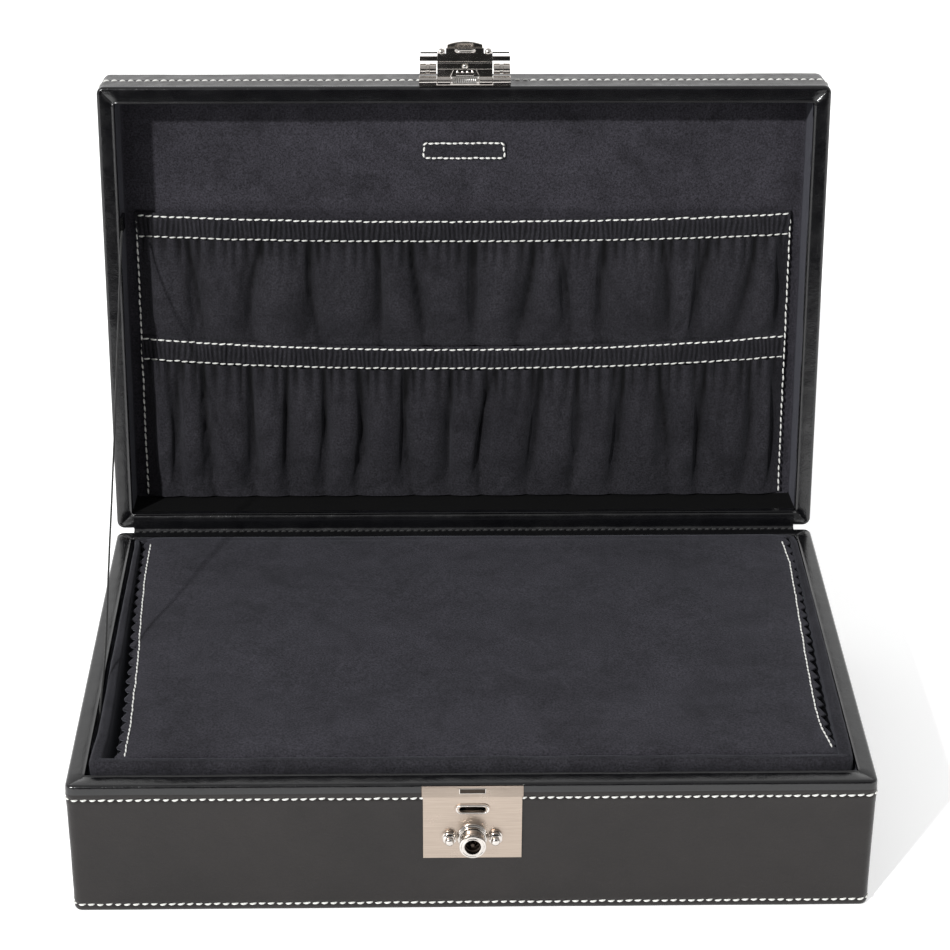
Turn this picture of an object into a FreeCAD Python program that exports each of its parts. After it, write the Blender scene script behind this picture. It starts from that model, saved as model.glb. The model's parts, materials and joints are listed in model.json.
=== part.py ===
import FreeCAD, Part

import math
import os

from FreeCAD import Vector

# A leather jewellery case, in millimetres, +Z up. The origin is the centre of the underside.
# The case stands open: every lid part is built closed and then turned about the hinge line.

# Driving dimensions
WIDTH = 280.0
DEPTH = 180.0
BASE_HEIGHT = 53.0
LID_HEIGHT = 25.0
SEAM_GAP = 1.2
OPEN_ANGLE = 97.4

# Wall build-up, from outside to inside
LEATHER = 1.2
BOARD = 4.2
LINING = 1.2
WALL = LEATHER + BOARD + LINING
FACE_BOARD = 2.4
PAD = 1.6
CORNER = 3.0
EDGE_ROUND = 1.0

# Inner half sizes of the case, and the floor inside it
INNER_X = WIDTH / 2 - WALL
INNER_Y = DEPTH / 2 - WALL
FLOOR = LEATHER + FACE_BOARD + PAD
FRONT = -DEPTH / 2

# Hinge line of the lid, and the lid's rim plane when it is closed
HINGE_Y = DEPTH / 2
HINGE_Z = BASE_HEIGHT + SEAM_GAP
LID_TOP = HINGE_Z + LID_HEIGHT

# Tray
TRAY_GAP = 1.2
TRAY_PROUD = 4.0
TRAY_HEIGHT = 28.0
TRAY_WALL = 4.5
TRAY_FLOOR = 2.0
TRAY_TOP = BASE_HEIGHT + TRAY_PROUD
TRAY_BOTTOM = TRAY_TOP - TRAY_HEIGHT
TRAY_X = INNER_X - TRAY_GAP
TRAY_Y = INNER_Y - TRAY_GAP
TRAY_IN_X = TRAY_X - TRAY_WALL
TRAY_IN_Y = TRAY_Y - TRAY_WALL
DIVIDER = 2.4
ROLL_COUNT = 6
ROLL_WIDTH = 15.0
ROLL_GAP = 2.5
ROLL_TOP = TRAY_TOP - 5.0

# Cover flap of the tray
FLAP_THICK = 1.4
FLAP_TOP = TRAY_TOP - 1.0
FLAP_SIDE_GAP = 1.2
FLAP_FRONT_GAP = 0.5
FLAP_BACK_GAP = 0.9

# Gathered pockets of the lid, measured up the lid from the hinge line
POCKET_X = 128.0
POCKET_THICK = 5.0
LOWER_POCKET = (7.5, 68.0)
LOWER_BAND = (68.0, 79.0)
UPPER_POCKET = (79.2, 115.0)
UPPER_BAND = (115.0, 126.5)
BAND_THICK = 2.0
LABEL = (33.0, 7.5, 0.8)
LABEL_UP = 149.5

# Lock on the base
PLATE_X = 17.1
LIP_X = 17.5
PLATE_THICK = 0.9
PLATE_LOW = 22.7
PLATE_BEND = 48.1
LIP_RUN = 0.8
LIP_RISE = 3.8
PLATE_FACE = FRONT - PLATE_THICK
SLOT_Z = 43.1
SLOT_X = 4.65
SLOT_HALF = 1.15
SLOT_RIM = 0.35
BARREL_Z = 31.6
COLLAR_R = 5.4
COLLAR_LENGTH = 1.8
BARREL_R = 4.4
TIP_R = 4.7
TIP_LENGTH = 1.9
BARREL_PROUD = 6.4
KEYWAY_R = 2.85
STEM_R = 2.8
SHANK_R = 1.2
STUD_X = 7.95
STUD_R = 2.45
STUD_TIP_R = 1.5
PUSH = 2.6
CASE_X = 12.8
CASE_WALL = 0.7
CASE_Z = (24.2, 47.8)
CASE_DEPTH = 5.3
CASE_BACK = 0.4
CAM_LOW = BARREL_Z + 1.0
CAM_DEEP = 1.3
CAM_X = 2.0
BOLT_ARM = (3.2, 4.4)
BOLT_THICK = 1.3

# Hasp on the lid, measured in the closed lid
PIN_Y = FRONT - 2.2
PIN_Z = HINGE_Z + 1.0
PIN_R = 0.7
KNUCKLE_R = 1.7
RUN_FIT = 0.05
HASP_X = 17.4
BODY_X = 10.6
WINDOW_X = 5.0
TAB_X = 7.15
HASP_INNER = 0.7
HASP_REACH = 14.2
STAPLE_X = 3.9
STAPLE_WIRE = 1.0
STAPLE_HALF = 1.05
STAPLE_LENGTH = 6.0
RIVET_X = 12.5
RIVET_UP = 11.5
RIVET_R = 1.1
LATCH_UP = 16.0
LATCH_THICK = 0.8

# Stay cord, one point after another from the lid's tab to the base's tab
CORD_R = 0.4
CORD_X = -INNER_X + 0.6
CORD_ROUTE = [
    (107.0, 176.5),
    (80.0, 151.2),
    (53.0, 124.8),
    (27.0, 101.5),
    (3.0, 82.5),
    (-10.0, 68.5),
    (-21.0, 60.5),
    (-34.0, 56.5),
    (-46.0, 50.5),
    (-52.0, 42.0),
]
TAB_THICK = 1.0

PARTS = {}


def keep(name, shape):
    """Adds one named piece to the model."""
    PARTS[name] = shape


def block(x, y, z):
    """A box between two limits along each axis."""
    return Part.makeBox(x[1] - x[0], y[1] - y[0], z[1] - z[0], Vector(x[0], y[0], z[0]))


def rounded_plate(half_x, half_y, radius, z):
    """A plate centred on the origin, with its upright corners rounded."""
    plate = block((-half_x, half_x), (-half_y, half_y), z)
    upright = [e for e in plate.Edges if abs(e.Vertexes[0].Z - e.Vertexes[1].Z) > 1e-6]
    return plate.makeFillet(radius, upright)


def round_rim(shape, z, radius):
    """Rounds the outer edges of a plate that lie at height z."""
    edges = [e for e in shape.Edges if all(abs(v.Z - z) < 1e-6 for v in e.Vertexes)]
    return shape.makeFillet(radius, edges)


def prism(points, x):
    """Extrudes an outline of (y, z) points between two limits along X."""
    outline = Part.makePolygon([Vector(x[0], y, z) for y, z in points + points[:1]])
    return Part.Face(outline).extrude(Vector(x[1] - x[0], 0, 0))


def slot_block(half_x, half_z, centre_z, y):
    """A slot with round ends, along X, running through a stretch of Y."""
    middle = block((half_z - half_x, half_x - half_z), y, (centre_z - half_z, centre_z + half_z))
    for side in (-1, 1):
        end = Vector(side * (half_x - half_z), y[0], centre_z)
        middle = middle.fuse(Part.makeCylinder(half_z, y[1] - y[0], end, Vector(0, 1, 0)))
    return middle.removeSplitter()


def turned(profile, x, z):
    """Turns an outline of (radius, y) points about a line along Y."""
    points = [Vector(x + r, y, z) for r, y in profile + profile[:1]]
    face = Part.Face(Part.makePolygon(points))
    return face.revolve(Vector(x, 0, z), Vector(0, 1, 0), 360)


def rod(radius, x, y, z):
    """A round bar along X."""
    return Part.makeCylinder(radius, x[1] - x[0], Vector(x[0], y, z), Vector(1, 0, 0))


def both_sides(shape):
    """A shape and its mirror image across the case's middle plane, as one group."""
    return [shape, shape.mirror(Vector(0, 0, 0), Vector(1, 0, 0))]


def opened(shape):
    """Turns a part of the closed lid to where it stands when the lid is open."""
    turned_shape = shape.copy()
    turned_shape.rotate(Vector(0, HINGE_Y, HINGE_Z), Vector(-1, 0, 0), OPEN_ANGLE)
    return turned_shape


def mitred_rim(z):
    """The leather turned over a case's rim: four strips that meet in mitres."""
    full = round_rim(rounded_plate(WIDTH / 2, DEPTH / 2, CORNER, z), z[1], EDGE_ROUND)
    frame = full.cut(block((-INNER_X, INNER_X), (-INNER_Y, INNER_Y), (z[0] - 1, z[1] + 1)))
    far = DEPTH / 2
    front_outline = [(-WIDTH / 2, -far), (WIDTH / 2, -far), (WIDTH / 2 - far, 0), (far - WIDTH / 2, 0)]
    right_outline = [(WIDTH / 2, -far), (WIDTH / 2, far), (WIDTH / 2 - far, 0)]
    strips = []
    for outline in (front_outline, right_outline):
        corners = [Vector(x, y, z[0] - 1) for x, y in outline + outline[:1]]
        wedge = Part.Face(Part.makePolygon(corners)).extrude(Vector(0, 0, z[1] - z[0] + 2))
        strip = frame.common(wedge)
        opposite = strip.copy()
        opposite.rotate(Vector(0, 0, 0), Vector(0, 0, 1), 180)
        strips += [strip, opposite]
    return strips


def case_half(height):
    """One half of the case, its closed face at z = 0 and its rim at z = height."""
    rim_z = height - LEATHER
    board_z = (LEATHER + FACE_BOARD, rim_z)
    skin_x = WIDTH / 2 - LEATHER
    skin_y = DEPTH / 2 - LEATHER
    skin_corner = CORNER - LEATHER
    outer = rounded_plate(WIDTH / 2, DEPTH / 2, CORNER, (LEATHER, rim_z))
    core = rounded_plate(skin_x, skin_y, skin_corner, (LEATHER, rim_z))
    face = rounded_plate(WIDTH / 2, DEPTH / 2, CORNER, (0, LEATHER))
    board_in_x = skin_x - BOARD
    board_in_y = skin_y - BOARD
    side_y = (-board_in_y, board_in_y)
    lining = block((-board_in_x, board_in_x), side_y, board_z)
    hollow = block((-INNER_X, INNER_X), (-INNER_Y, INNER_Y), board_z)
    return {
        "face_leather": round_rim(face, 0, EDGE_ROUND),
        "wall_leather": outer.cut(core),
        "rim_binding": Part.makeCompound(mitred_rim((rim_z, height))),
        "face_board": rounded_plate(skin_x, skin_y, skin_corner, (LEATHER, board_z[0])),
        "front_board": core.common(block((-skin_x, skin_x), (-skin_y, -board_in_y), board_z)),
        "back_board": core.common(block((-skin_x, skin_x), (board_in_y, skin_y), board_z)),
        "left_board": block((-skin_x, -board_in_x), side_y, board_z),
        "right_board": block((board_in_x, skin_x), side_y, board_z),
        "wall_lining": lining.cut(hollow),
        "pad": block((-INNER_X, INNER_X), (-INNER_Y, INNER_Y), (board_z[0], FLOOR)),
    }


def base_parts():
    """The base's walls, with the lock let into the front, and the fittings inside."""
    parts = case_half(BASE_HEIGHT)
    lock_pocket = block((-CASE_X, CASE_X), (FRONT, FRONT + CASE_DEPTH), CASE_Z)
    bend = (FRONT, PLATE_BEND)
    bend_top = (FRONT + LIP_RUN, PLATE_BEND + LIP_RISE)
    outside = FRONT - 1
    notch_top = bend_top[1] + (bend_top[0] - outside) * LIP_RUN / LIP_RISE
    notch_outline = [(outside, PLATE_BEND), bend, bend_top, (outside, notch_top)]
    lip_notch = prism(notch_outline, (-LIP_X, LIP_X))
    for name in ("wall_leather", "front_board", "rim_binding"):
        parts[name] = parts[name].cut(lock_pocket).cut(lip_notch)
    names = {
        "face_leather": "base_bottom_leather",
        "face_board": "base_bottom_board",
        "pad": "base_floor_pad",
    }
    for name, shape in parts.items():
        keep(names.get(name, "base_" + name), shape)

    divider_z = (FLOOR, TRAY_BOTTOM - 2.0)
    middle = DIVIDER / 2
    keep("lower_long_divider", block((-INNER_X, INNER_X), (-middle, middle), divider_z))
    cross = [block((-middle, middle), y, divider_z) for y in ((-INNER_Y, -middle), (middle, INNER_Y))]
    keep("lower_cross_dividers", Part.makeCompound(cross))
    rest = 12.0
    rests = []
    for x in (-INNER_X, INNER_X - rest):
        for y in (-INNER_Y, INNER_Y - rest):
            rests.append(block((x, x + rest), (y, y + rest), (FLOOR, TRAY_BOTTOM - 0.2)))
    keep("tray_rests", Part.makeCompound(rests))
    strip_y = (INNER_Y + 0.6, DEPTH / 2 - 0.1)
    keep("hinge_strip", block((-INNER_X, INNER_X), strip_y, (BASE_HEIGHT, BASE_HEIGHT + 0.8)))


def lock_parts():
    """The lock plate with its case, and the push barrel that draws the bolt."""
    flat = block((-PLATE_X, PLATE_X), (PLATE_FACE, FRONT), (PLATE_LOW, PLATE_BEND))
    slope = math.atan2(LIP_RUN, LIP_RISE)
    lip_top = (FRONT + LIP_RUN, PLATE_BEND + LIP_RISE)
    lip_face = (lip_top[0] - PLATE_THICK * math.cos(slope), lip_top[1] + PLATE_THICK * math.sin(slope))
    lip = prism([(FRONT, PLATE_BEND), (PLATE_FACE, PLATE_BEND), lip_face, lip_top], (-LIP_X, LIP_X))
    rim_y = (PLATE_FACE - SLOT_RIM, PLATE_FACE)
    plate = flat.fuse(lip).fuse(slot_block(SLOT_X + 1.5, SLOT_HALF + 1.0, SLOT_Z, rim_y))
    plate = plate.cut(slot_block(SLOT_X, SLOT_HALF, SLOT_Z, (FRONT - 3, FRONT + 1)))
    hole = Part.makeCylinder(BARREL_R + RUN_FIT, 3, Vector(0, FRONT - 2, BARREL_Z), Vector(0, 1, 0))
    plate = plate.cut(hole)
    for side in (-1, 1):
        at = Vector(side * STUD_X, FRONT - 2, BARREL_Z)
        plate = plate.cut(Part.makeCylinder(SHANK_R, 3, at, Vector(0, 1, 0)))
    keep("lock_plate", plate)

    back = FRONT + CASE_DEPTH
    shell = block((-CASE_X, CASE_X), (FRONT, back), CASE_Z)
    inside = block(
        (CASE_WALL - CASE_X, CASE_X - CASE_WALL),
        (FRONT, back - CASE_BACK),
        (CASE_Z[0] + CASE_WALL, CASE_Z[1] - CASE_WALL),
    )
    keep("lock_case", shell.cut(inside))

    stud = [
        (0, FRONT + 0.6),
        (SHANK_R, FRONT + 0.6),
        (SHANK_R, PLATE_FACE),
        (STUD_R, PLATE_FACE),
        (STUD_R, PLATE_FACE - 1.5),
        (STUD_TIP_R, PLATE_FACE - 1.9),
        (STUD_TIP_R, PLATE_FACE - 3.7),
        (STUD_TIP_R - 0.5, PLATE_FACE - 4.0),
        (0, PLATE_FACE - 4.0),
    ]
    keep("lock_studs", Part.makeCompound([turned(stud, side * STUD_X, BARREL_Z) for side in (-1, 1)]))

    collar_front = PLATE_FACE - COLLAR_LENGTH
    collar = [
        (BARREL_R + RUN_FIT, PLATE_FACE),
        (COLLAR_R, PLATE_FACE),
        (COLLAR_R, collar_front + 0.5),
        (COLLAR_R - 0.5, collar_front),
        (BARREL_R + RUN_FIT, collar_front),
    ]
    keep("barrel_collar", turned(collar, 0, BARREL_Z))

    tip = PLATE_FACE - BARREL_PROUD
    shoulder = FRONT - 2.0
    stem_end = FRONT + 0.8
    plug_y = shoulder - 0.7
    barrel = [
        (KEYWAY_R, tip),
        (TIP_R - 0.4, tip),
        (TIP_R, tip + 0.4),
        (TIP_R, tip + TIP_LENGTH),
        (BARREL_R, tip + TIP_LENGTH),
        (BARREL_R, shoulder),
        (STEM_R, shoulder),
        (STEM_R, stem_end),
        (0, stem_end),
        (0, plug_y),
        (KEYWAY_R, plug_y),
    ]
    cam = [
        (stem_end, CAM_LOW),
        (stem_end, CAM_LOW + CAM_DEEP),
        (stem_end + CAM_DEEP, CAM_LOW + CAM_DEEP),
    ]
    stem_low = BARREL_Z - STEM_R - 1
    below_cam = [
        (shoulder, stem_low),
        (shoulder, CAM_LOW - (stem_end - shoulder)),
        (stem_end, CAM_LOW),
        (stem_end + 1, CAM_LOW),
        (stem_end + 1, stem_low),
    ]
    push_barrel = turned(barrel, 0, BARREL_Z).cut(prism(below_cam, (-STEM_R - 1, STEM_R + 1)))
    keep("lock_barrel", push_barrel.fuse(prism(cam, (-CAM_X, CAM_X))))
    plug = [
        (0, plug_y - 0.05),
        (STEM_R, plug_y - 0.05),
        (STEM_R, plug_y - 0.9),
        (0.8, plug_y - 0.9),
        (0.8, tip + 1.0),
        (0, tip + 1.0),
    ]
    keyhole = block((-0.4, 0.4), (plug_y - 1.0, plug_y - 0.5), (BARREL_Z + 1.2, BARREL_Z + 2.4))
    keep("key_plug", turned(plug, 0, BARREL_Z).cut(keyhole))

    ramp_front = stem_end + 0.3
    ramp_back = back - CASE_BACK - 0.2
    ramp_low = 29.9
    ramp_fit = 0.15
    ramp = [
        (ramp_front, ramp_low),
        (ramp_front, CAM_LOW + ramp_front - stem_end - ramp_fit),
        (ramp_back, CAM_LOW + ramp_back - stem_end - ramp_fit),
        (ramp_back, ramp_low),
    ]
    bolt = prism(ramp, (-CAM_X, CAM_X))
    bolt_y = (ramp_front, ramp_front + BOLT_THICK)
    bridge_low = BARREL_Z + STEM_R + PUSH + 0.4
    bridge_z = (bridge_low, bridge_low + BOLT_THICK)
    whole_x = (-BOLT_ARM[1], BOLT_ARM[1])
    bolt = bolt.fuse(block(whole_x, bolt_y, (ramp_low, ramp_low + BOLT_THICK)))
    for side in (-1, 1):
        x = sorted((side * BOLT_ARM[0], side * BOLT_ARM[1]))
        bolt = bolt.fuse(block(x, bolt_y, (ramp_low, bridge_z[1])))
    bolt = bolt.fuse(block(whole_x, bolt_y, bridge_z))
    nose_x = STAPLE_X - STAPLE_WIRE - 0.5
    nose_top = SLOT_Z + STAPLE_HALF + 0.4
    bolt = bolt.fuse(block((-nose_x, nose_x), bolt_y, (bridge_low, nose_top)))
    keep("latch_bolt", bolt)
    spring_low = CASE_Z[0] + CASE_WALL
    spring_at = Vector(0, FRONT + 2.2, spring_low)
    spring = Part.makeCylinder(1.2, ramp_low - spring_low, spring_at)
    keep("bolt_spring", spring.cut(Part.makeCylinder(0.8, ramp_low - spring_low, spring_at)))


def lid_parts():
    """The lid's walls, its gathered pockets and the label patch, all turned open."""
    swapped = {"left_board": "right_board", "right_board": "left_board"}
    names = {
        "face_leather": "lid_top_leather",
        "face_board": "lid_top_board",
        "pad": "lid_panel_pad",
    }
    for name, shape in case_half(LID_HEIGHT).items():
        closed = shape.copy()
        closed.rotate(Vector(0, 0, 0), Vector(0, 1, 0), 180)
        closed.translate(Vector(0, 0, LID_TOP))
        side = swapped.get(name, name)
        keep(names.get(side, "lid_" + side), opened(closed))

    panel_z = LID_TOP - FLOOR
    pocket_z = (panel_z - POCKET_THICK, panel_z)
    band_z = (pocket_z[0] - BAND_THICK, panel_z)
    pieces = {
        "lower_pocket": (LOWER_POCKET, pocket_z),
        "lower_elastic": (LOWER_BAND, band_z),
        "upper_pocket": (UPPER_POCKET, pocket_z),
        "upper_elastic": (UPPER_BAND, band_z),
    }
    for name, (up, z) in pieces.items():
        keep(name, opened(block((-POCKET_X, POCKET_X), (HINGE_Y - up[1], HINGE_Y - up[0]), z)))
    label_y = HINGE_Y - LABEL_UP
    label = rounded_plate(LABEL[0] / 2, LABEL[1] / 2, 1.5, (panel_z - LABEL[2], panel_z))
    label.translate(Vector(0, label_y, 0))
    keep("label_patch", opened(label))


def hasp_parts():
    """The hinge plate on the lid's front wall and the hasp that swings on its pin."""
    plate_y = (FRONT - LATCH_THICK, FRONT)
    plate = block((-HASP_X, HASP_X), plate_y, (HINGE_Z + 0.2, HINGE_Z + LATCH_UP))
    for side in (-1, 1):
        x = sorted((side * (BODY_X + 0.2), side * HASP_X))
        knuckle = rod(KNUCKLE_R, x, PIN_Y, PIN_Z)
        root = block(x, (PIN_Y, FRONT - 0.4), (PIN_Z, PIN_Z + KNUCKLE_R))
        plate = plate.fuse(knuckle.fuse(root)).cut(rod(PIN_R, x, PIN_Y, PIN_Z))
    swing_room = rod(KNUCKLE_R + 0.2, (-BODY_X - 0.2, BODY_X + 0.2), PIN_Y, PIN_Z)
    plate = plate.cut(swing_room)
    rivet_z = HINGE_Z + RIVET_UP
    for side in (-1, 1):
        at = Vector(side * RIVET_X, FRONT - 1, rivet_z)
        plate = plate.cut(Part.makeCylinder(RIVET_R, 2, at, Vector(0, 1, 0)))
    keep("latch_plate", opened(plate))
    rivet = [
        (0, FRONT),
        (RIVET_R, FRONT),
        (RIVET_R, plate_y[0]),
        (RIVET_R + 0.8, plate_y[0]),
        (RIVET_R + 0.2, plate_y[0] - 0.7),
        (0, plate_y[0] - 0.9),
    ]
    rivets = [turned(rivet, side * RIVET_X, rivet_z) for side in (-1, 1)]
    keep("latch_rivets", opened(Part.makeCompound(rivets)))
    keep("hasp_pin", opened(rod(PIN_R, (-HASP_X, HASP_X), PIN_Y, PIN_Z)))

    inner = PIN_Z - HASP_INNER
    outer = PIN_Z + 0.5
    shoulder = PIN_Y - 10.5
    hasp = block((-BODY_X, BODY_X), (shoulder, PIN_Y), (inner, outer))
    hasp = hasp.fuse(rod(KNUCKLE_R, (-BODY_X, BODY_X), PIN_Y, PIN_Z))
    hasp = hasp.fuse(block((-TAB_X, TAB_X), (PIN_Y - 12.4, shoulder), (inner, outer)))
    wing_y = (PIN_Y - 10.3, PIN_Y - 2.6)
    hasp = hasp.fuse(block((-HASP_X, HASP_X), wing_y, (PIN_Z + 0.9, outer + 1.4)))
    hasp = hasp.fuse(block((-BODY_X, BODY_X), wing_y, (outer, outer + 1.4)))
    roll_y = PIN_Y - 4.3
    roll_r = 2.1
    roll = rod(roll_r, (-HASP_X, HASP_X), roll_y, PIN_Z + 1.5)
    roll_under = block((-BODY_X, BODY_X), (roll_y - 3, roll_y + 3), (PIN_Z - 3, inner))
    hasp = hasp.fuse(roll.cut(roll_under))
    thumb_r = 11.6
    thumb = Part.makeCylinder(thumb_r, 2.0, Vector(0, PIN_Y - HASP_REACH + thumb_r, outer))
    thumb = thumb.common(block((-TAB_X, TAB_X), (PIN_Y - HASP_REACH, PIN_Y - 4.0), (outer, outer + 3)))
    hasp = hasp.fuse(thumb)
    boss = (8.9, 11.2, 1.4)
    for side in (-1, 1):
        at = Vector(side * boss[0], PIN_Y - boss[1], PIN_Z - 0.2)
        hasp = hasp.fuse(Part.makeCylinder(boss[2], 2.0, at))
    hasp = hasp.cut(rod(PIN_R + RUN_FIT, (-BODY_X, BODY_X), PIN_Y, PIN_Z))
    window = rod(KNUCKLE_R + 0.4, (-WINDOW_X, WINDOW_X), PIN_Y, PIN_Z)
    keep("hasp", opened(hasp.cut(window).removeSplitter()))
    spring_x = (0.3 - WINDOW_X, WINDOW_X - 0.3)
    spring = rod(KNUCKLE_R - 0.2, spring_x, PIN_Y, PIN_Z)
    keep("hasp_spring", opened(spring.cut(rod(PIN_R, spring_x, PIN_Y, PIN_Z))))

    staple_y = PIN_Y - (PIN_Z - SLOT_Z)
    y = (staple_y - STAPLE_HALF, staple_y + STAPLE_HALF)
    staple = block((-STAPLE_X, STAPLE_X), y, (inner - STAPLE_LENGTH, inner))
    gap_x = STAPLE_X - STAPLE_WIRE
    loop = block((-gap_x, gap_x), (y[0] - 1, y[1] + 1), (inner - STAPLE_LENGTH + STAPLE_WIRE, inner + 1))
    keep("hasp_staple", opened(staple.cut(loop)))


def tray_parts():
    """The lift-out tray with its ring rolls and compartments, and the flap over it."""
    z = (TRAY_BOTTOM, TRAY_TOP)
    blank = rounded_plate(TRAY_X, TRAY_Y, CORNER, z)
    keep("tray_front_wall", blank.common(block((-TRAY_X, TRAY_X), (-TRAY_Y, -TRAY_IN_Y), z)))
    keep("tray_back_wall", blank.common(block((-TRAY_X, TRAY_X), (TRAY_IN_Y, TRAY_Y), z)))
    keep("tray_left_wall", block((-TRAY_X, -TRAY_IN_X), (-TRAY_IN_Y, TRAY_IN_Y), z))
    keep("tray_right_wall", block((TRAY_IN_X, TRAY_X), (-TRAY_IN_Y, TRAY_IN_Y), z))
    inside_x = (-TRAY_IN_X, TRAY_IN_X)
    inside_y = (-TRAY_IN_Y, TRAY_IN_Y)
    floor_top = TRAY_BOTTOM + TRAY_FLOOR
    pad_top = floor_top + 1.0
    keep("tray_bottom_board", block(inside_x, inside_y, (TRAY_BOTTOM, floor_top)))
    keep("tray_floor_pad", block(inside_x, inside_y, (floor_top, pad_top)))

    rolls_wide = ROLL_COUNT * (ROLL_WIDTH + ROLL_GAP) + ROLL_GAP
    long_x = rolls_wide - TRAY_IN_X
    divider_z = (pad_top, ROLL_TOP)
    keep("tray_long_divider", block((long_x, long_x + DIVIDER), inside_y, divider_z))
    rest_x = (long_x + DIVIDER, TRAY_IN_X)
    third = 2 * TRAY_IN_Y / 3
    crosses = []
    for step in (1, 2):
        y = -TRAY_IN_Y + step * third
        crosses.append(block(rest_x, (y - DIVIDER / 2, y + DIVIDER / 2), divider_z))
    keep("tray_cross_dividers", Part.makeCompound(crosses))
    rolls = []
    for number in range(ROLL_COUNT):
        left = -TRAY_IN_X + ROLL_GAP + number * (ROLL_WIDTH + ROLL_GAP)
        roll = block((left, left + ROLL_WIDTH), (-TRAY_IN_Y + 1, TRAY_IN_Y - 1), (pad_top, ROLL_TOP))
        top = [e for e in roll.Edges if all(abs(v.Z - ROLL_TOP) < 1e-6 for v in e.Vertexes)]
        long_top = [e for e in top if abs(e.Vertexes[0].Y - e.Vertexes[1].Y) > 1]
        rolls.append(roll.makeFillet(ROLL_WIDTH / 2 - 0.5, long_top))
    keep("ring_rolls", Part.makeCompound(rolls))

    flap_x = TRAY_IN_X - FLAP_SIDE_GAP
    flap_y = (FLAP_FRONT_GAP - TRAY_IN_Y, TRAY_IN_Y - FLAP_BACK_GAP)
    keep("cover_flap", block((-flap_x, flap_x), flap_y, (FLAP_TOP - FLAP_THICK, FLAP_TOP)))


def cord_line(points):
    """Straight runs joined by tangent arcs, as one wire; also the arcs' radii and the length."""
    edges = []
    radii = []
    start = points[0]
    for before, corner, after in zip(points, points[1:], points[2:]):
        back = before - corner
        ahead = after - corner
        turn = math.pi - back.getAngle(ahead)
        setback = 0.45 * min(back.Length, ahead.Length)
        radius = setback / math.tan(turn / 2)
        inward = back.normalize() + ahead.normalize()
        enter = corner + back * setback
        leave = corner + ahead * setback
        centre = corner + inward.normalize() * (radius / math.cos(turn / 2))
        middle = centre + (corner - centre).normalize() * radius
        edges.append(Part.LineSegment(start, enter).toShape())
        edges.append(Part.Arc(enter, middle, leave).toShape())
        radii.append(radius)
        start = leave
    edges.append(Part.LineSegment(start, points[-1]).toShape())
    wire = Part.Wire(edges)
    return wire, radii


def cord_parts():
    """The stay cord that stops the lid, and the two tabs that it is sewn to."""
    points = [Vector(CORD_X, y, z) for y, z in CORD_ROUTE]
    wire, radii = cord_line(points)
    first = Part.Wire([Part.makeCircle(CORD_R, points[0], points[1] - points[0])])
    cord = wire.makePipeShell([first], True, True)
    keep("stay_cord", cord)
    expected = math.pi * CORD_R**2 * wire.Length
    print("cord length", round(wire.Length, 1), "radii", [round(r, 1) for r in radii])
    print("cord volume", round(cord.Volume, 2), "expected", round(expected, 2))

    tab_x = (-INNER_X, -INNER_X + TAB_THICK)
    low = CORD_ROUTE[-1]
    keep("cord_base_tab", block(tab_x, (low[0] - 4.0, low[0] + 4.0), (low[1] - 14.0, low[1] - 0.6)))
    closed_top = points[0] - Vector(0, HINGE_Y, HINGE_Z)
    turn = math.radians(OPEN_ANGLE)
    y = HINGE_Y + closed_top.y * math.cos(turn) - closed_top.z * math.sin(turn)
    z = HINGE_Z + closed_top.y * math.sin(turn) + closed_top.z * math.cos(turn)
    tab = block(tab_x, (y - 5.0, y + 1.0), (z + 0.8, z + 9.0))
    keep("cord_lid_tab", opened(tab))


def main():
    base_parts()
    lock_parts()
    lid_parts()
    hasp_parts()
    tray_parts()
    cord_parts()
    os.makedirs("parts", exist_ok=True)
    for name, shape in PARTS.items():
        solids = shape.Solids
        if not solids or not all(s.isValid() for s in solids):
            raise ValueError(f"{name} isn't a valid solid")
        whole = solids[0] if len(solids) == 1 else Part.makeCompound(solids)
        whole.exportStep(f"parts/{name}.step")
    print(len(PARTS), "parts")


main()
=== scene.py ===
import json
import math

import bmesh
import bpy
import numpy as np
from mathutils import Matrix, Vector


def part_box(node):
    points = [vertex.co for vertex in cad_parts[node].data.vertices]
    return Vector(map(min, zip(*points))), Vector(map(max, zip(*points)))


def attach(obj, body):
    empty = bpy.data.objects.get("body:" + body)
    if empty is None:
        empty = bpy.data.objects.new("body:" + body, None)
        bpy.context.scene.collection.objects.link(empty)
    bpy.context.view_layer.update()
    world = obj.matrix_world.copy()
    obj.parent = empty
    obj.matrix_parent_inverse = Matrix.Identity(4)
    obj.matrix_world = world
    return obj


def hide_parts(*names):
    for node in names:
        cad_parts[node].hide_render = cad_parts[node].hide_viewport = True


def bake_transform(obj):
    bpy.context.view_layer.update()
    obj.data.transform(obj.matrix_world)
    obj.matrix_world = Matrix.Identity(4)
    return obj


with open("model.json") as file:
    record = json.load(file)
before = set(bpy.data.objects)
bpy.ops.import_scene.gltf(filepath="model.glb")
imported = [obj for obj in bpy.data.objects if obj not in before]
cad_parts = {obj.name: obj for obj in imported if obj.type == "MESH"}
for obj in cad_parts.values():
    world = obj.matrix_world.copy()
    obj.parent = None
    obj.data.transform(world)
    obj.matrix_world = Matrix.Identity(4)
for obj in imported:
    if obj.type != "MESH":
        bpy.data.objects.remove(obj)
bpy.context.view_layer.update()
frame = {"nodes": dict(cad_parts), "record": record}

# A black leather jewellery case standing open. Outlines are worked out in millimetres in two
# local frames, the base's own and the lid's, and placed in the row frame in metres.

MM = 0.001


def node_box(*nodes):
    """Lowest and highest corner of some CAD nodes together, in millimetres."""
    corners = np.array([[tuple(c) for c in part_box(node)] for node in nodes]) / MM
    return corners[:, 0].min(0), corners[:, 1].max(0)


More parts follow.
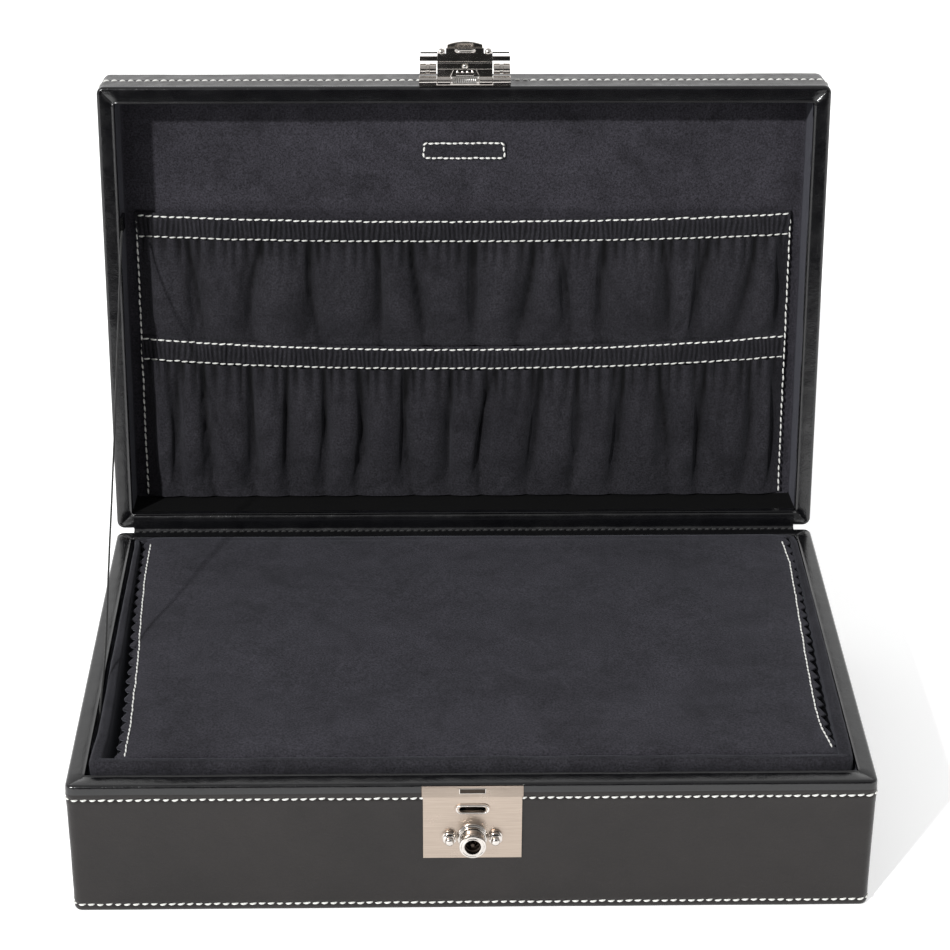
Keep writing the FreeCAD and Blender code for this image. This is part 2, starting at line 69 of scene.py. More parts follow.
# Sizes of the case, read from the frame
base_high = node_box("base_bottom_leather", "base_wall_leather", "base_rim_binding")[1]
floor_pad_high = node_box("base_floor_pad")[1]
HALF_X = float(base_high[0])
HALF_Y = float(base_high[1])
BASE_HEIGHT = float(base_high[2])
FLOOR = float(floor_pad_high[2])
WALL = HALF_X - float(floor_pad_high[0])
CORNER = 3.0

lid_joint = next(j for j in frame["record"]["behaviour"]["joints"] if j["name"] == "lid_hinge")
HINGE = Vector(lid_joint["pos_m"])
OPEN = math.radians(-lid_joint["range_deg"][0])
LEAN = OPEN - math.pi / 2
UP = Vector((0, math.sin(LEAN), math.cos(LEAN)))
FACING = Vector((0, -math.cos(LEAN), math.sin(LEAN)))
lid_top = frame["nodes"]["lid_top_leather"].data
LID_HEIGHT = max((HINGE - vertex.co).dot(FACING) for vertex in lid_top.vertices) / MM
BASE = Matrix.Scale(MM, 4)
LID = Matrix.Translation(HINGE + (HALF_Y * UP - LID_HEIGHT * FACING) * MM) @ Matrix((
    (MM, 0, 0, 0),
    (0, UP.y * MM, FACING.y * MM, 0),
    (0, UP.z * MM, FACING.z * MM, 0),
    (0, 0, 0, 1),
))


# ---------------------------------------------------------------- mesh helpers

def placed(points, place):
    """Points of a local frame, in metres in the row frame."""
    matrix = np.array(place)
    return np.asarray(points, float).reshape(-1, 3) @ matrix[:3, :3].T + matrix[:3, 3]


def add_object(name, points, faces, materials=()):
    """A mesh object in the scene, its points in metres."""
    mesh = bpy.data.meshes.new(name)
    mesh.from_pydata(np.asarray(points, float).tolist(), [], faces)
    for material in materials:
        mesh.materials.append(material)
    made = bpy.data.objects.new(name, mesh)
    bpy.context.scene.collection.objects.link(made)
    return made


def square(reach, level, materials=()):
    """Points, face and materials of a level square about the middle."""
    corners = [(-reach, -reach, level), (reach, -reach, level), (reach, reach, level), (-reach, reach, level)]
    return corners, [(0, 1, 2, 3)], materials


def piece_from(name, points, faces, place, body, slot, *materials):
    """A smooth mesh piece of the case, which rides on a body if one is given."""
    piece = add_object(name, placed(points, place), faces, materials)
    piece.data.validate()
    piece.data.polygons.foreach_set("use_smooth", [True] * len(piece.data.polygons))
    if body:
        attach(piece, body)
    return piece


def final_mesh(obj):
    """The mesh that an object's modifiers make."""
    return bpy.data.meshes.new_from_object(obj.evaluated_get(bpy.context.evaluated_depsgraph_get()))


def settle_modifiers(piece):
    """Applies a piece's modifiers, so that its mesh is final."""
    mesh = final_mesh(piece)
    piece.modifiers.clear()
    piece.data = mesh


def thicken(piece, thickness):
    """Gives a sheet of cloth its thickness, away from its face."""
    thick = piece.modifiers.new("thickness", "SOLIDIFY")
    thick.thickness = thickness * MM
    thick.offset = -1


def even_shading(piece):
    """Shades flat faces evenly up to their eased edges."""
    weighted = piece.modifiers.new("shading", "WEIGHTED_NORMAL")
    weighted.keep_sharp = True


def mark_crease_shade(piece, depth):
    """Gives each point its depth in a crease, which the suede's colour darkens as painted shade."""
    marks = piece.data.attributes.new("crease_shade", "FLOAT", "POINT")
    marks.data.foreach_set("value", np.concatenate(depth))


def grid_faces(rows, columns, closed=False, start=0):
    """Quads between neighbouring rows of a grid of points."""
    faces = []
    last = columns if closed else columns - 1
    for row in range(rows - 1):
        for column in range(last):
            after = (column + 1) % columns
            low = start + row * columns
            faces.append((low + column, low + after, low + columns + after, low + columns + column))
    return faces


def ring_shell(rings, cap_first=False, cap_last=False):
    """Points and quads of a skin over closed rings with equal counts."""
    count = len(rings[0])
    faces = grid_faces(len(rings), count, closed=True)
    if cap_first:
        faces.append(tuple(reversed(range(count))))
    if cap_last:
        faces.append(tuple(range((len(rings) - 1) * count, len(rings) * count)))
    return np.concatenate(rings), faces


def outline(half_x, half_y, radius, xs, ys, corner=6):
    """A rounded rectangle and its outward normals; its sides pass through given places."""
    points = []
    normals = []
    for quarter, (out_x, out_y) in enumerate(((0, 1), (-1, 0), (0, -1), (1, 0))):
        centre_x = (half_x - radius) * (1, -1, -1, 1)[quarter]
        centre_y = (half_y - radius) * (1, 1, -1, -1)[quarter]
        for step in range(corner + 1):
            angle = (quarter + step / corner) * math.pi / 2
            normals.append((math.cos(angle), math.sin(angle)))
            points.append((centre_x + radius * math.cos(angle), centre_y + radius * math.sin(angle)))
        straight = (half_y if out_x else half_x) - radius
        for value in np.clip(ys if out_x else xs, -straight, straight):
            points.append((out_x * half_x - out_y * value, out_y * half_y + out_x * value))
            normals.append((out_x, out_y))
    return np.array(points), np.array(normals)


def travel(line):
    """The distance travelled along a polyline at each of its points."""
    steps = np.linalg.norm(np.diff(line, axis=0), axis=1)
    return np.concatenate([[0], np.cumsum(steps)])


def evenly(points, pitch, closed=True):
    """Places at an even pitch along a polyline: positions and directions."""
    line = np.array(points, float)
    if closed:
        line = np.vstack([line, line[:1]])
    steps = np.linalg.norm(np.diff(line, axis=0), axis=1)
    line = line[np.concatenate([[True], steps > 1e-6])]
    travelled = travel(line)
    count = max(1, round(travelled[-1] / pitch))
    at = (np.arange(count) + 0.5) * travelled[-1] / count
    reach = 0.3 * pitch

    def place(value):
        return np.stack([np.interp(value, travelled, line[:, k]) for k in range(line.shape[1])], 1)

    return place(at), place(at + reach) - place(at - reach)


def unit(vectors):
    return vectors / np.linalg.norm(vectors, axis=-1, keepdims=True)


def capsule(length, width, lift, around=8, along=7):
    """A stitch lying along X: a rounded grain whose ends dive into the leather."""
    rings = []
    for u in np.linspace(-1, 1, along):
        radius = width / 2 * (1 - abs(u) ** 3 * 0.75)
        height = lift * (1 - u * u) - width * 0.12
        turn = np.linspace(0, 2 * math.pi, around, endpoint=False)
        rings.append(np.stack([
            np.full(around, u * length / 2),
            radius * np.cos(turn),
            height + radius * np.sin(turn),
        ], 1))
    return ring_shell(rings, True, True)


def stitches(name, spots, normals, place, body, slot, seed, length=2.45, width=0.78, slant=7.0):
    """A row of stitches at given spots; each leans a little across the row."""
    rng = np.random.default_rng(seed)
    grain, grain_faces = capsule(length, width, width * 0.42)
    positions, directions = spots
    count = len(positions)
    ahead = unit(directions)
    out = unit(normals - (normals * ahead).sum(1, keepdims=True) * ahead)
    across = np.cross(out, ahead)
    lean = np.radians(slant + rng.normal(0, 2.5, count))[:, None]
    along = ahead * np.cos(lean) + across * np.sin(lean)
    side = np.cross(out, along)
    size = 1 + rng.normal(0, 0.05, (count, 1, 1))
    shift = rng.normal(0, 0.07, (count, 1)) * across
    points = (
        (positions + shift)[:, None, :]
        + grain[None, :, 0:1] * along[:, None, :] * size
        + grain[None, :, 1:2] * side[:, None, :]
        + grain[None, :, 2:3] * out[:, None, :]
    ).reshape(-1, 3)
    faces = []
    for number in range(count):
        start = number * len(grain)
        faces += [tuple(start + corner for corner in face) for face in grain_faces]
    return piece_from(name, points, faces, place, body, slot, THREAD)


def level_stitches(name, rows, place, body, slot, seed, length, width, slant):
    """Rows of stitches on a face that looks along Z, joined in one piece."""
    positions, directions = (np.concatenate(parts) for parts in zip(*rows))
    normals = np.tile([0.0, 0.0, 1.0], (len(positions), 1))
    spots = (positions, directions)
    return stitches(name, spots, normals, place, body, slot, seed, length, width, slant)


def ripple(x, y, seed, scale, octaves=3):
    """A smooth random height between about -1 and 1, made of a few sine waves."""
    rng = np.random.default_rng(seed)
    total = np.zeros(np.broadcast(x, y).shape)
    weight = 0
    for octave in range(octaves):
        size = scale / 1.9**octave
        for _ in range(4):
            angle = rng.uniform(0, math.pi)
            phase = rng.uniform(0, 2 * math.pi)
            wave = (x * math.cos(angle) + y * math.sin(angle)) * 2 * math.pi / size
            total = total + np.sin(wave + phase) / 1.7**octave
        weight += 2 / 1.7**octave
    return total / weight


MESH_PITCH = 3.0


def soft_board(name, low, high, body, radius, puff, seed):
    """A suede covered board: a box with rounded edges, its faces a little puffed and uneven."""
    low = np.array(low, float)
    high = np.array(high, float)
    size = high - low
    counts = [max(2, int(math.ceil(s / MESH_PITCH))) for s in size]
    points = {}
    faces = []

    for axis in range(3):
        one, two = [k for k in range(3) if k != axis]
        for end in (0, counts[axis]):
            for i in range(counts[one]):
                for j in range(counts[two]):
                    quad = []
                    for di, dj in ((0, 0), (1, 0), (1, 1), (0, 1)):
                        key = [0, 0, 0]
                        key[axis] = end
                        key[one] = i + di
                        key[two] = j + dj
                        quad.append(points.setdefault(tuple(key), len(points)))
                    outward = (end > 0) != (axis == 1)
                    faces.append(tuple(quad) if outward else tuple(reversed(quad)))
    keys = np.array(list(points), float)
    share = keys / np.array(counts)
    box = low + share * size
    middle = (low + high) / 2
    core = np.clip(box, np.minimum(low + radius, middle), np.maximum(high - radius, middle))
    away = box - core
    length = np.linalg.norm(away, axis=1, keepdims=True)
    box = core + np.where(length > 1e-9, away / np.maximum(length, 1e-9) * np.minimum(radius, length), 0)
    centre = 2 * share - 1
    for axis in range(3):
        one, two = [k for k in range(3) if k != axis]
        crown = (1 - centre[:, one]**4) * (1 - centre[:, two]**4)
        uneven = 0.35 * ripple(box[:, one], box[:, two], seed + axis, 35.0)
        on_face = np.abs(centre[:, axis]) > 0.999
        box[:, axis] += np.where(on_face, np.sign(centre[:, axis]) * puff * crown * (0.65 + uneven), 0)
    return piece_from(name, box, faces, BASE, body, "suede", SUEDE)


# ---------------------------------------------------------------- materials

class Shader:
    """A node material with a Principled shader and object coordinates."""

    def __init__(self, name, **sockets):
        self.material = bpy.data.materials.new(name)
        self.material.use_nodes = True
        self.nodes = self.material.node_tree.nodes
        self.links = self.material.node_tree.links
        self.shader = self.nodes["Principled BSDF"]
        for socket, value in sockets.items():
            self.shader.inputs[socket.replace("_", " ")].default_value = value
        self.place = self.nodes.new("ShaderNodeTexCoord").outputs["Object"]

    def stretched(self, scale):
        node = self.nodes.new("ShaderNodeMapping")
        node.inputs["Scale"].default_value = scale
        self.links.new(self.place, node.inputs["Vector"])
        return node.outputs["Vector"]

    def noise(self, scale, detail=4.0, rough=0.55, place=None, distortion=0.0):
        node = self.nodes.new("ShaderNodeTexNoise")
        node.inputs["Scale"].default_value = scale
        node.inputs["Detail"].default_value = detail
        node.inputs["Roughness"].default_value = rough
        node.inputs["Distortion"].default_value = distortion
        self.links.new(place or self.place, node.inputs["Vector"])
        return node.outputs["Fac"]

    def cells(self, scale):
        node = self.nodes.new("ShaderNodeTexVoronoi")
        node.inputs["Scale"].default_value = scale
        self.links.new(self.place, node.inputs["Vector"])
        return node.outputs["Distance"]

    def ramp(self, value, stops):
        node = self.nodes.new("ShaderNodeValToRGB")
        elements = node.color_ramp.elements
        while len(elements) < len(stops):
            elements.new(0.5)
        for element, (at, colour) in zip(elements, stops):
            element.position = at
            element.color = (*colour, 1) if isinstance(colour, tuple) else (colour, colour, colour, 1)
        self.links.new(value, node.inputs["Fac"])
        return node.outputs["Color"]

    def mix(self, factor, one, two, kind="MIX"):
        node = self.nodes.new("ShaderNodeMix")
        node.data_type = "RGBA"
        node.blend_type = kind
        node.inputs["Factor"].default_value = factor
        self.links.new(one, node.inputs["A"])
        self.links.new(two, node.inputs["B"])
        return node.outputs["Result"]

    def bump(self, height, strength, distance, below=None):
        node = self.nodes.new("ShaderNodeBump")
        node.inputs["Strength"].default_value = strength
        node.inputs["Distance"].default_value = distance
        self.links.new(height, node.inputs["Height"])
        if below:
            self.links.new(below, node.inputs["Normal"])
        return node.outputs["Normal"]

    def set(self, socket, value):
        self.links.new(value, self.shader.inputs[socket])


def leather(name, dark, light, rough, grain, specular):
    """Calf leather: fine closed pores, faint mottling, a little wear in the gloss."""
    made = Shader(name, IOR=1.5, Specular_IOR_Level=specular)
    mottle = made.noise(38, 5, 0.6)
    fine = made.noise(900, 3, 0.6)
    tone = made.ramp(mottle, [(0.3, dark), (0.7, light)])
    made.set("Base Color", made.mix(0.25, tone, made.ramp(fine, [(0.35, dark), (0.65, light)])))
    gloss = made.ramp(made.noise(130, 6, 0.65), [(0.3, rough - 0.07), (0.7, rough + 0.07)])
    made.set("Roughness", gloss)
    pores = made.ramp(made.cells(1500), [(0.0, 0.0), (0.35, 0.75), (1.0, 1.0)])
    creases = made.ramp(made.noise(420, 6, 0.7, distortion=0.6), [(0.42, 0.0), (0.58, 1.0)])
    soft = made.bump(made.noise(60, 3, 0.5), 0.25, 0.0012)
    crease = made.bump(creases, grain * 0.5, 0.00018, soft)
    made.set("Normal", made.bump(pores, grain, 0.00012, crease))
    return made.material


def suede(name, dark, light, sheen):
    """Napped suede cloth: matt, with cloudy brushed patches and a short fuzz."""
    made = Shader(name, Roughness=0.92, Specular_IOR_Level=0.15, Sheen_Weight=sheen, Sheen_Roughness=0.45,
                  Sheen_Tint=(0.75, 0.78, 0.9, 1))
    cloud = made.noise(26, 6, 0.62, distortion=0.8)
    brushed = made.noise(120, 5, 0.7, distortion=0.4)
    nap = made.noise(1500, 3, 0.6)
    tone = made.ramp(cloud, [(0.33, dark), (0.68, light)])
    tone = made.mix(0.4, tone, made.ramp(brushed, [(0.35, dark), (0.7, light)]))
    speck = made.ramp(nap, [(0.34, 0.5), (0.66, 1.5)])
    tone = made.mix(1.0, tone, speck, "MULTIPLY")
    rubbed = made.ramp(made.noise(55, 4, 0.6, distortion=1.2), [(0.28, 0.72), (0.5, 1.03)])
    tone = made.mix(1.0, tone, rubbed, "MULTIPLY")
    # Painted shade: the colour darkens with each point's crease depth attribute, most in the deepest creases.
    crease_shade = made.nodes.new("ShaderNodeAttribute")
    crease_shade.attribute_name = "crease_shade"
    shade = made.ramp(crease_shade.outputs["Fac"], [(0.0, 1.0), (0.45, 0.75), (1.0, 0.12)])
    made.set("Base Color", made.mix(1.0, tone, shade, "MULTIPLY"))
    cloth = made.bump(brushed, 0.25, 0.0006)
    made.set("Normal", made.bump(nap, 0.45, 0.00022, cloth))
    return made.material


def nickel(name, colour, rough, brushed):
    """Nickel plate: satin with fine lines along X, or polished with faint handling marks."""
    made = Shader(name, Metallic=1.0, Base_Color=(*colour, 1), Anisotropic=0.5 if brushed else 0.0)
    lines = made.noise(1.0, 4, 0.6, made.stretched((90, 5200, 5200) if brushed else (400, 400, 400)))
    marks = made.noise(160, 5, 0.6)
    made.set("Roughness", made.ramp(marks, [(0.3, rough - 0.05), (0.7, rough + 0.06)]))
    tint = tuple(channel * 0.82 for channel in colour)
    made.set("Base Color", made.ramp(lines, [(0.3, tint), (0.65, colour)]))
    made.set("Normal", made.bump(lines, 0.35 if brushed else 0.05, 0.00004))
    return made.material


def thread(name, shade, light):
    """Spun thread: strands that show as a fine twist."""
    made = Shader(name, Roughness=0.75, Specular_IOR_Level=0.3, Sheen_Weight=0.2)
    strands = made.noise(2600, 3, 0.6)
    made.set("Base Color", made.ramp(strands, [(0.25, shade), (0.6, light)]))
    made.set("Normal", made.bump(strands, 0.6, 0.00015))
    return made.material


def board(name):
    """Grey fibreboard with flecks."""
    made = Shader(name, Roughness=0.9)
    flecks = made.noise(700, 6, 0.7)
    made.set("Base Color", made.ramp(flecks, [(0.35, (0.28, 0.25, 0.21)), (0.65, (0.42, 0.38, 0.33))]))
    made.set("Normal", made.bump(flecks, 0.3, 0.0002))
    return made.material


def spring_steel(name):
    """Blued spring wire."""
    made = Shader(name, Metallic=1.0)
    marks = made.noise(900, 4, 0.6)
    made.set("Base Color", made.ramp(marks, [(0.3, (0.3, 0.29, 0.28)), (0.7, (0.5, 0.49, 0.47))]))
    made.set("Roughness", made.ramp(marks, [(0.3, 0.25), (0.7, 0.4)]))
    return made.material


LEATHER = leather("black leather", (0.0062, 0.0048, 0.0045), (0.0115, 0.0092, 0.0086), 0.36, 0.3, 0.33)
RIM = leather("rim leather", (0.0016, 0.0016, 0.002), (0.0035, 0.0035, 0.0042), 0.2, 0.2, 0.6)
SUEDE = suede("charcoal suede", (0.0135, 0.0128, 0.016), (0.027, 0.0256, 0.0318), 0.1)
POCKET = suede("pocket suede", (0.0095, 0.0092, 0.0115), (0.0195, 0.0188, 0.0225), 0.08)
# Near-black suede: painted shade for the lid's lower inner wall, under the lower pocket.
PAINTED_SHADE = suede("painted shade cloth", (0.0008, 0.0008, 0.0009), (0.0016, 0.0016, 0.0018), 0.0)
THREAD = thread("white thread", (0.36, 0.36, 0.34), (0.68, 0.68, 0.65))
CORD = thread("black cord", (0.006, 0.006, 0.006), (0.018, 0.018, 0.018))
BRUSHED = nickel("brushed nickel", (0.45, 0.375, 0.315), 0.3, True)
POLISHED = nickel("polished nickel", (0.66, 0.62, 0.58), 0.13, False)
# Dark nickel: painted shade for the barrel's bore and its key pin; the lip's dark inlay uses it too.
DARK_BORE = nickel("unlit bore", (0.07, 0.055, 0.045), 0.4, False)
BOARD = board("grey board")
STEEL = spring_steel("spring steel")


# ---------------------------------------------------------------- leather skins

plate_high = node_box("lock_plate")[1]
PLATE_BEND = 48.1
LIP_LEAN = 0.8 / 3.8
NOTCH_X = float(plate_high[0]) - 0.05
NOTCH_HIGH = float(plate_high[2]) + 0.05
WINDOW_X = 16.5
WINDOW_LOW = 23.5
WINDOW_HIGH = 47.0


def side_places(half, extra=()):
    """Places along a side, about 3 mm apart, with a few more where the skin steps."""
    count = int(2 * half / 3.2)
    return sorted([*np.linspace(-half, half, count), *extra])


def skin_rings(height, rows, notch):
    """Closed rings of a case half's leather, from its closed face to inside the rim."""
    offsets = (-0.3, -0.02, 0.02, 0.3) if notch else ()
    xs = side_places(HALF_X - 8, [side * (NOTCH_X + offset) for side in (-1, 1) for offset in offsets])
    ys = side_places(HALF_Y - 8)
    profile = [(9.0, 0.0), (4.0, 0.0), (1.6, 0.02), (0.9, 0.12), (0.4, 0.4), (0.1, 0.9), (0.0, 1.5)]
    heights = set(np.linspace(2.2, height - 2.2, int(height / 2.2)))
    for row in rows:
        heights |= {row + d for d in (-2.2, -1.5, -0.9, -0.4, 0, 0.4, 0.9, 1.5, 2.2)}
    for h in sorted(x for x in heights if 1.7 < x < height - 1.5):
        groove = sum(0.30 * math.exp(-((h - row) / 0.75)**2) for row in rows)
        swell = sum(0.14 * math.exp(-((h - row) / 2.6)**2) for row in rows)
        profile.append((groove - swell, h))
    edge_round = 1.35
    for step in range(7):
        turn = step / 6 * math.pi / 2
        profile.append((edge_round * (1 - math.cos(turn)), height - edge_round * (1 - math.sin(turn))))
    for o in (2.2, 3.2, 4.2, 5.2, 5.9):
        profile.append((o, height + 0.12 * math.sin((o - 1.3) / 4.8 * math.pi)))
    profile += [(6.02, height + 0.16), (6.2, height + 0.28), (6.38, height + 0.2)]
    profile += [(6.47, height - 0.05), (6.5, height - 0.5), (6.53, height - 1.1), (6.55, height - 2.5)]
    rings = []
    for o, h in profile:
        radius = max(CORNER - o, 0.45)
        flat, normal = outline(HALF_X - o, HALF_Y - o, radius, xs, ys)
        level = np.full(len(flat), h)
        if 0 < h < height - 1.4:
            wave = 0.10 * ripple(flat[:, 0] + flat[:, 1] * 0.7, level, 5, 60.0)
            flat = flat + normal * wave[:, None]
        if o > 1.2 and h > height - 1:
            slanted = np.abs(normal).min(1)
            level = level - np.where(slanted > 0.55, 0.32, np.where(slanted > 0.2, 0.1, 0.0))
            wrinkle = 0.10 * ripple(flat[:, 0], flat[:, 1], 9, 24.0)
            level = level + wrinkle * min(1.0, (o - 1.2) / 1.5)
        if notch:
            behind = (h - PLATE_BEND) * LIP_LEAN + 0.12
            inside = (np.abs(flat[:, 0]) < NOTCH_X) & (flat[:, 1] < 0) & (PLATE_BEND < h < NOTCH_HIGH)
            flat[:, 1] = np.where(inside, np.maximum(flat[:, 1], -HALF_Y + behind), flat[:, 1])
        rings.append(np.column_stack([flat, level]))
    return rings


RIM_DROP = 4.2


def behind_plate(corners):
    """Whether a face of the front leather lies in the window cut for the lock's case."""
    x, y, z = corners.T
    in_front = y.max() < 1.0 - HALF_Y
    return in_front and np.abs(x).max() < WINDOW_X and z.min() > WINDOW_LOW and z.max() < WINDOW_HIGH


def skin(name, height, rows, notch, place, body, nodes):
    """A case half's leather: the face, the walls and the turned-over rim."""
    points, faces = ring_shell(skin_rings(height, rows, notch), cap_first=True)
    if notch:
        faces = [face for face in faces if not behind_plate(points[list(face)])]
    piece = piece_from(name, points, faces, place, body, "black_leather", LEATHER, RIM)
    rim_from = height - RIM_DROP
    for polygon in piece.data.polygons:
        if min(points[v][2] for v in polygon.vertices) > rim_from:
            polygon.material_index = 1
    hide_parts(*nodes)
    return piece


def wall_stitches(name, level, place, body, seed):
    """Topstitching round all four walls of a case half."""
    xs = side_places(HALF_X - 8)
    ys = side_places(HALF_Y - 8)
    flat = outline(HALF_X - STITCH_DEPTH, HALF_Y - STITCH_DEPTH, CORNER, xs, ys)[0]
    line = np.column_stack([flat, np.full(len(flat), level)])
    positions, directions = evenly(line, STITCH_PITCH)
    inner = np.array([HALF_X - CORNER, HALF_Y - CORNER])
    centre = np.clip(positions[:, :2], -inner, inner)
    out = np.column_stack([positions[:, :2] - centre, np.zeros(len(positions))])
    return stitches(name, (positions, directions), unit(out), place, body, "black_leather", seed)


STITCH_DEPTH = 0.08
STITCH_PITCH = 3.15
BASE_ROWS = (3.0, 47.2)
LID_ROWS = (13.5,)
skin("base_leather", BASE_HEIGHT, BASE_ROWS, True, BASE, "base",
     ("base_wall_leather", "base_rim_binding", "base_bottom_leather"))
skin("lid_leather", LID_HEIGHT, LID_ROWS, False, LID, "lid",
     ("lid_wall_leather", "lid_rim_binding", "lid_top_leather"))
wall_stitches("base_bottom_stitches", BASE_ROWS[0], BASE, "base", 11)
wall_stitches("base_top_stitches", BASE_ROWS[1], BASE, "base", 12)
wall_stitches("lid_wall_stitches", LID_ROWS[0], LID, "lid", 13)


# ---------------------------------------------------------------- linings

def lining(name, height, place, body, nodes):
    """Suede on the inside of a case half's walls and over its floor or panel; in the lid, the lower inner
    wall takes a near-black suede as painted shade.
    """
    xs = side_places(HALF_X - 12)
    ys = side_places(HALF_Y - 12)
    inner_x = HALF_X - WALL
    inner_y = HALF_Y - WALL
    rings = []
    for h in (height - 0.7, *np.linspace(height - 2, FLOOR + 1.2, 10), FLOOR + 0.4, FLOOR + 0.05):
        inset = 0.5 if h < FLOOR + 0.3 else (0.15 if h < FLOOR + 0.6 else -0.08)
        flat, normal = outline(inner_x - inset, inner_y - inset, 0.8, xs, ys)
        wave = 0.12 * ripple(flat[:, 0] + flat[:, 1], np.full(len(flat), h), 21, 42.0)
        rings.append(np.column_stack([flat + normal * wave[:, None], np.full(len(flat), h)]))
    for inset in (1.5, 4.0, 9.0):
        reach_x = inner_x - inset - 1
        reach_y = inner_y - inset - 1
        inner_xs = np.clip(xs, -reach_x, reach_x)
        inner_ys = np.clip(ys, -reach_y, reach_y)
        flat = outline(reach_x + 1, reach_y + 1, 0.8, inner_xs, inner_ys)[0]
        wave = 0.10 * ripple(flat[:, 0], flat[:, 1], 22, 50.0) + 0.25 * min(1, (inset - 1) / 4)
        rings.append(np.column_stack([flat, FLOOR + wave]))
    points, faces = ring_shell(rings, cap_last=True)
    faces = [tuple(reversed(face)) for face in faces]
    in_lid = body == "lid"
    piece = piece_from(name, points, faces, place, body, "suede", *((SUEDE, PAINTED_SHADE) if in_lid else (SUEDE,)))
    # Painted shade: faces on the lid's lower inner wall get the near-black suede.
    if in_lid:
        for polygon in piece.data.polygons:
            spot = np.mean([points[corner] for corner in faces[polygon.index]], axis=0)
            if spot[1] < 0.8 - inner_y and spot[2] > FLOOR + 0.6:
                polygon.material_index = 1
    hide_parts(*nodes)
    return piece


lining("base_lining", BASE_HEIGHT, BASE, "base", ("base_wall_lining", "base_floor_pad"))
lining("lid_lining", LID_HEIGHT, LID, "lid", ("lid_wall_lining", "lid_panel_pad"))


def covered_boards(prefix, node, body, radius, puff, seed):
    """Padded suede boards in the places of a CAD node's solids."""
    obj = frame["nodes"][node]
    points = np.array([tuple(v.co) for v in obj.data.vertices]) / MM
    parent = list(range(len(points)))

    def find(i):
        while parent[i] != i:
            parent[i] = parent[parent[i]]
            i = parent[i]
        return i

    for edge in obj.data.edges:
        parent[find(edge.vertices[0])] = find(edge.vertices[1])
    where = {}
    for index, point in enumerate(points):
        key = tuple(np.round(point, 3))
        if key in where:
            parent[find(index)] = find(where[key])
        where[key] = index
    groups = {}
    for index, point in enumerate(points):
        groups.setdefault(find(index), []).append(point)
    boxes = sorted((tuple(np.min(g, 0)), tuple(np.max(g, 0))) for g in groups.values())
    made = []
    for number, (low, high) in enumerate(boxes):
        name = prefix if len(boxes) == 1 else f"{prefix}_{number + 1}"
        made.append(soft_board(name, low, high, body, radius, puff, seed + number))
        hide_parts(node)
    return made


covered_boards("lower_long_divider_cover", "lower_long_divider", "base", 1.1, 0.15, 31)
covered_boards("lower_cross_divider_cover", "lower_cross_dividers", "base", 1.1, 0.15, 33)
covered_boards("tray_rest_cover", "tray_rests", "base", 1.5, 0.2, 36)
covered_boards("tray_long_divider_cover", "tray_long_divider", "tray", 1.1, 0.15, 41)
covered_boards("tray_cross_divider_cover", "tray_cross_dividers", "tray", 1.1, 0.15, 43)
for pad in covered_boards("tray_floor_cover", "tray_floor_pad", "tray", 0.5, 0.3, 45):
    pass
for roll in covered_boards("ring_roll", "ring_rolls", "tray", 6.8, 0.5, 51):
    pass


# ---------------------------------------------------------------- tray walls and flap

tray_low, tray_high = node_box("tray_front_wall", "tray_back_wall", "tray_left_wall", "tray_right_wall")
TRAY_WALL = node_box("tray_left_wall")[1][0] - tray_low[0]


def wall_lean(flat, normal):
    """How far the tray's side walls bulge outward, less a dent for the cord, and how thick they are."""
    ahead = np.clip((flat[:, 1] - tray_low[1]) / (tray_high[1] - tray_low[1]), 0, 1)
    beside = np.abs(normal[:, 0]) > 0.9
    bulge = np.where(beside, 0.9 * np.sin(ahead * math.pi)**0.4, 0.0)
    cord_side = (flat[:, 0] < 0) & beside
    dent_end = 84
    dent = np.clip((flat[:, 1] + dent_end) / 30, 0, 1) * np.clip((dent_end - flat[:, 1]) / 12, 0, 1)
    dent = dent**2 * (3 - 2 * dent)
    bulge = bulge - np.where(cord_side, 1.5 * dent, 0)
    thick = np.where(beside, TRAY_WALL + 0.4 - 2.6 * ahead, TRAY_WALL)
    return bulge, thick


def tray_walls():
    """The tray's suede covered walls, one band with a soft rounded top."""
    half_x = tray_high[0]
    half_y = tray_high[1]
    top = tray_high[2]
    low = tray_low[2]
    xs = side_places(half_x - 9)
    ys = side_places(half_y - 9)
    outer = [(0.04, low), (0.0, low + 0.6)] + [(0.0, h) for h in np.linspace(low + 3, top - 3.2, 8)]
    crest = [((1 - math.cos(t)) / 2, top - 1.9 + 1.9 * math.sin(t)) for t in np.linspace(0, math.pi, 11)]
    inner = [(1.0, h) for h in np.linspace(top - 3.2, low + 2.5, 8)]
    rings = []
    for share, h in outer + crest + inner:
        flat, normal = outline(half_x, half_y, CORNER, xs, ys)
        bulge, thick = wall_lean(flat, normal)
        near_top = np.clip(1 - (top - h) / 14, 0, 1)
        o = share * thick - bulge * near_top
        flat = flat - normal * np.minimum(o, 2.6)[:, None]
        more = np.maximum(o - 2.6, 0)[:, None]
        flat = flat - np.where(np.abs(normal) > 0.3, np.sign(normal), 0) * more
        creased = max(0.0, 1 - (top - h) / 6)
        along = flat[:, 0] + flat[:, 1]
        wave = (0.12 + 0.22 * creased) * ripple(along * 0.8, np.full(len(flat), h * 1.6), 61, 38.0)
        folds = 0.16 * creased * np.sin(share * 9 + 1.5 * ripple(along, along * 0, 64, 90.0))
        back = np.clip((flat[:, 1] - half_y + TRAY_WALL + 2) / 2, 0, 1)
        level = h + creased * 0.3 * ripple(along, along * 0, 62, 55.0) + folds - 1.9 * back * creased
        rings.append(np.column_stack([flat + normal * wave[:, None] * 0.6, level]))
    points, faces = ring_shell(rings)
    piece = piece_from("tray_wall_cover", points, faces, BASE, "tray", "suede", POCKET)
    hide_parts("tray_front_wall", "tray_back_wall", "tray_left_wall", "tray_right_wall")
    return piece


tray_walls()

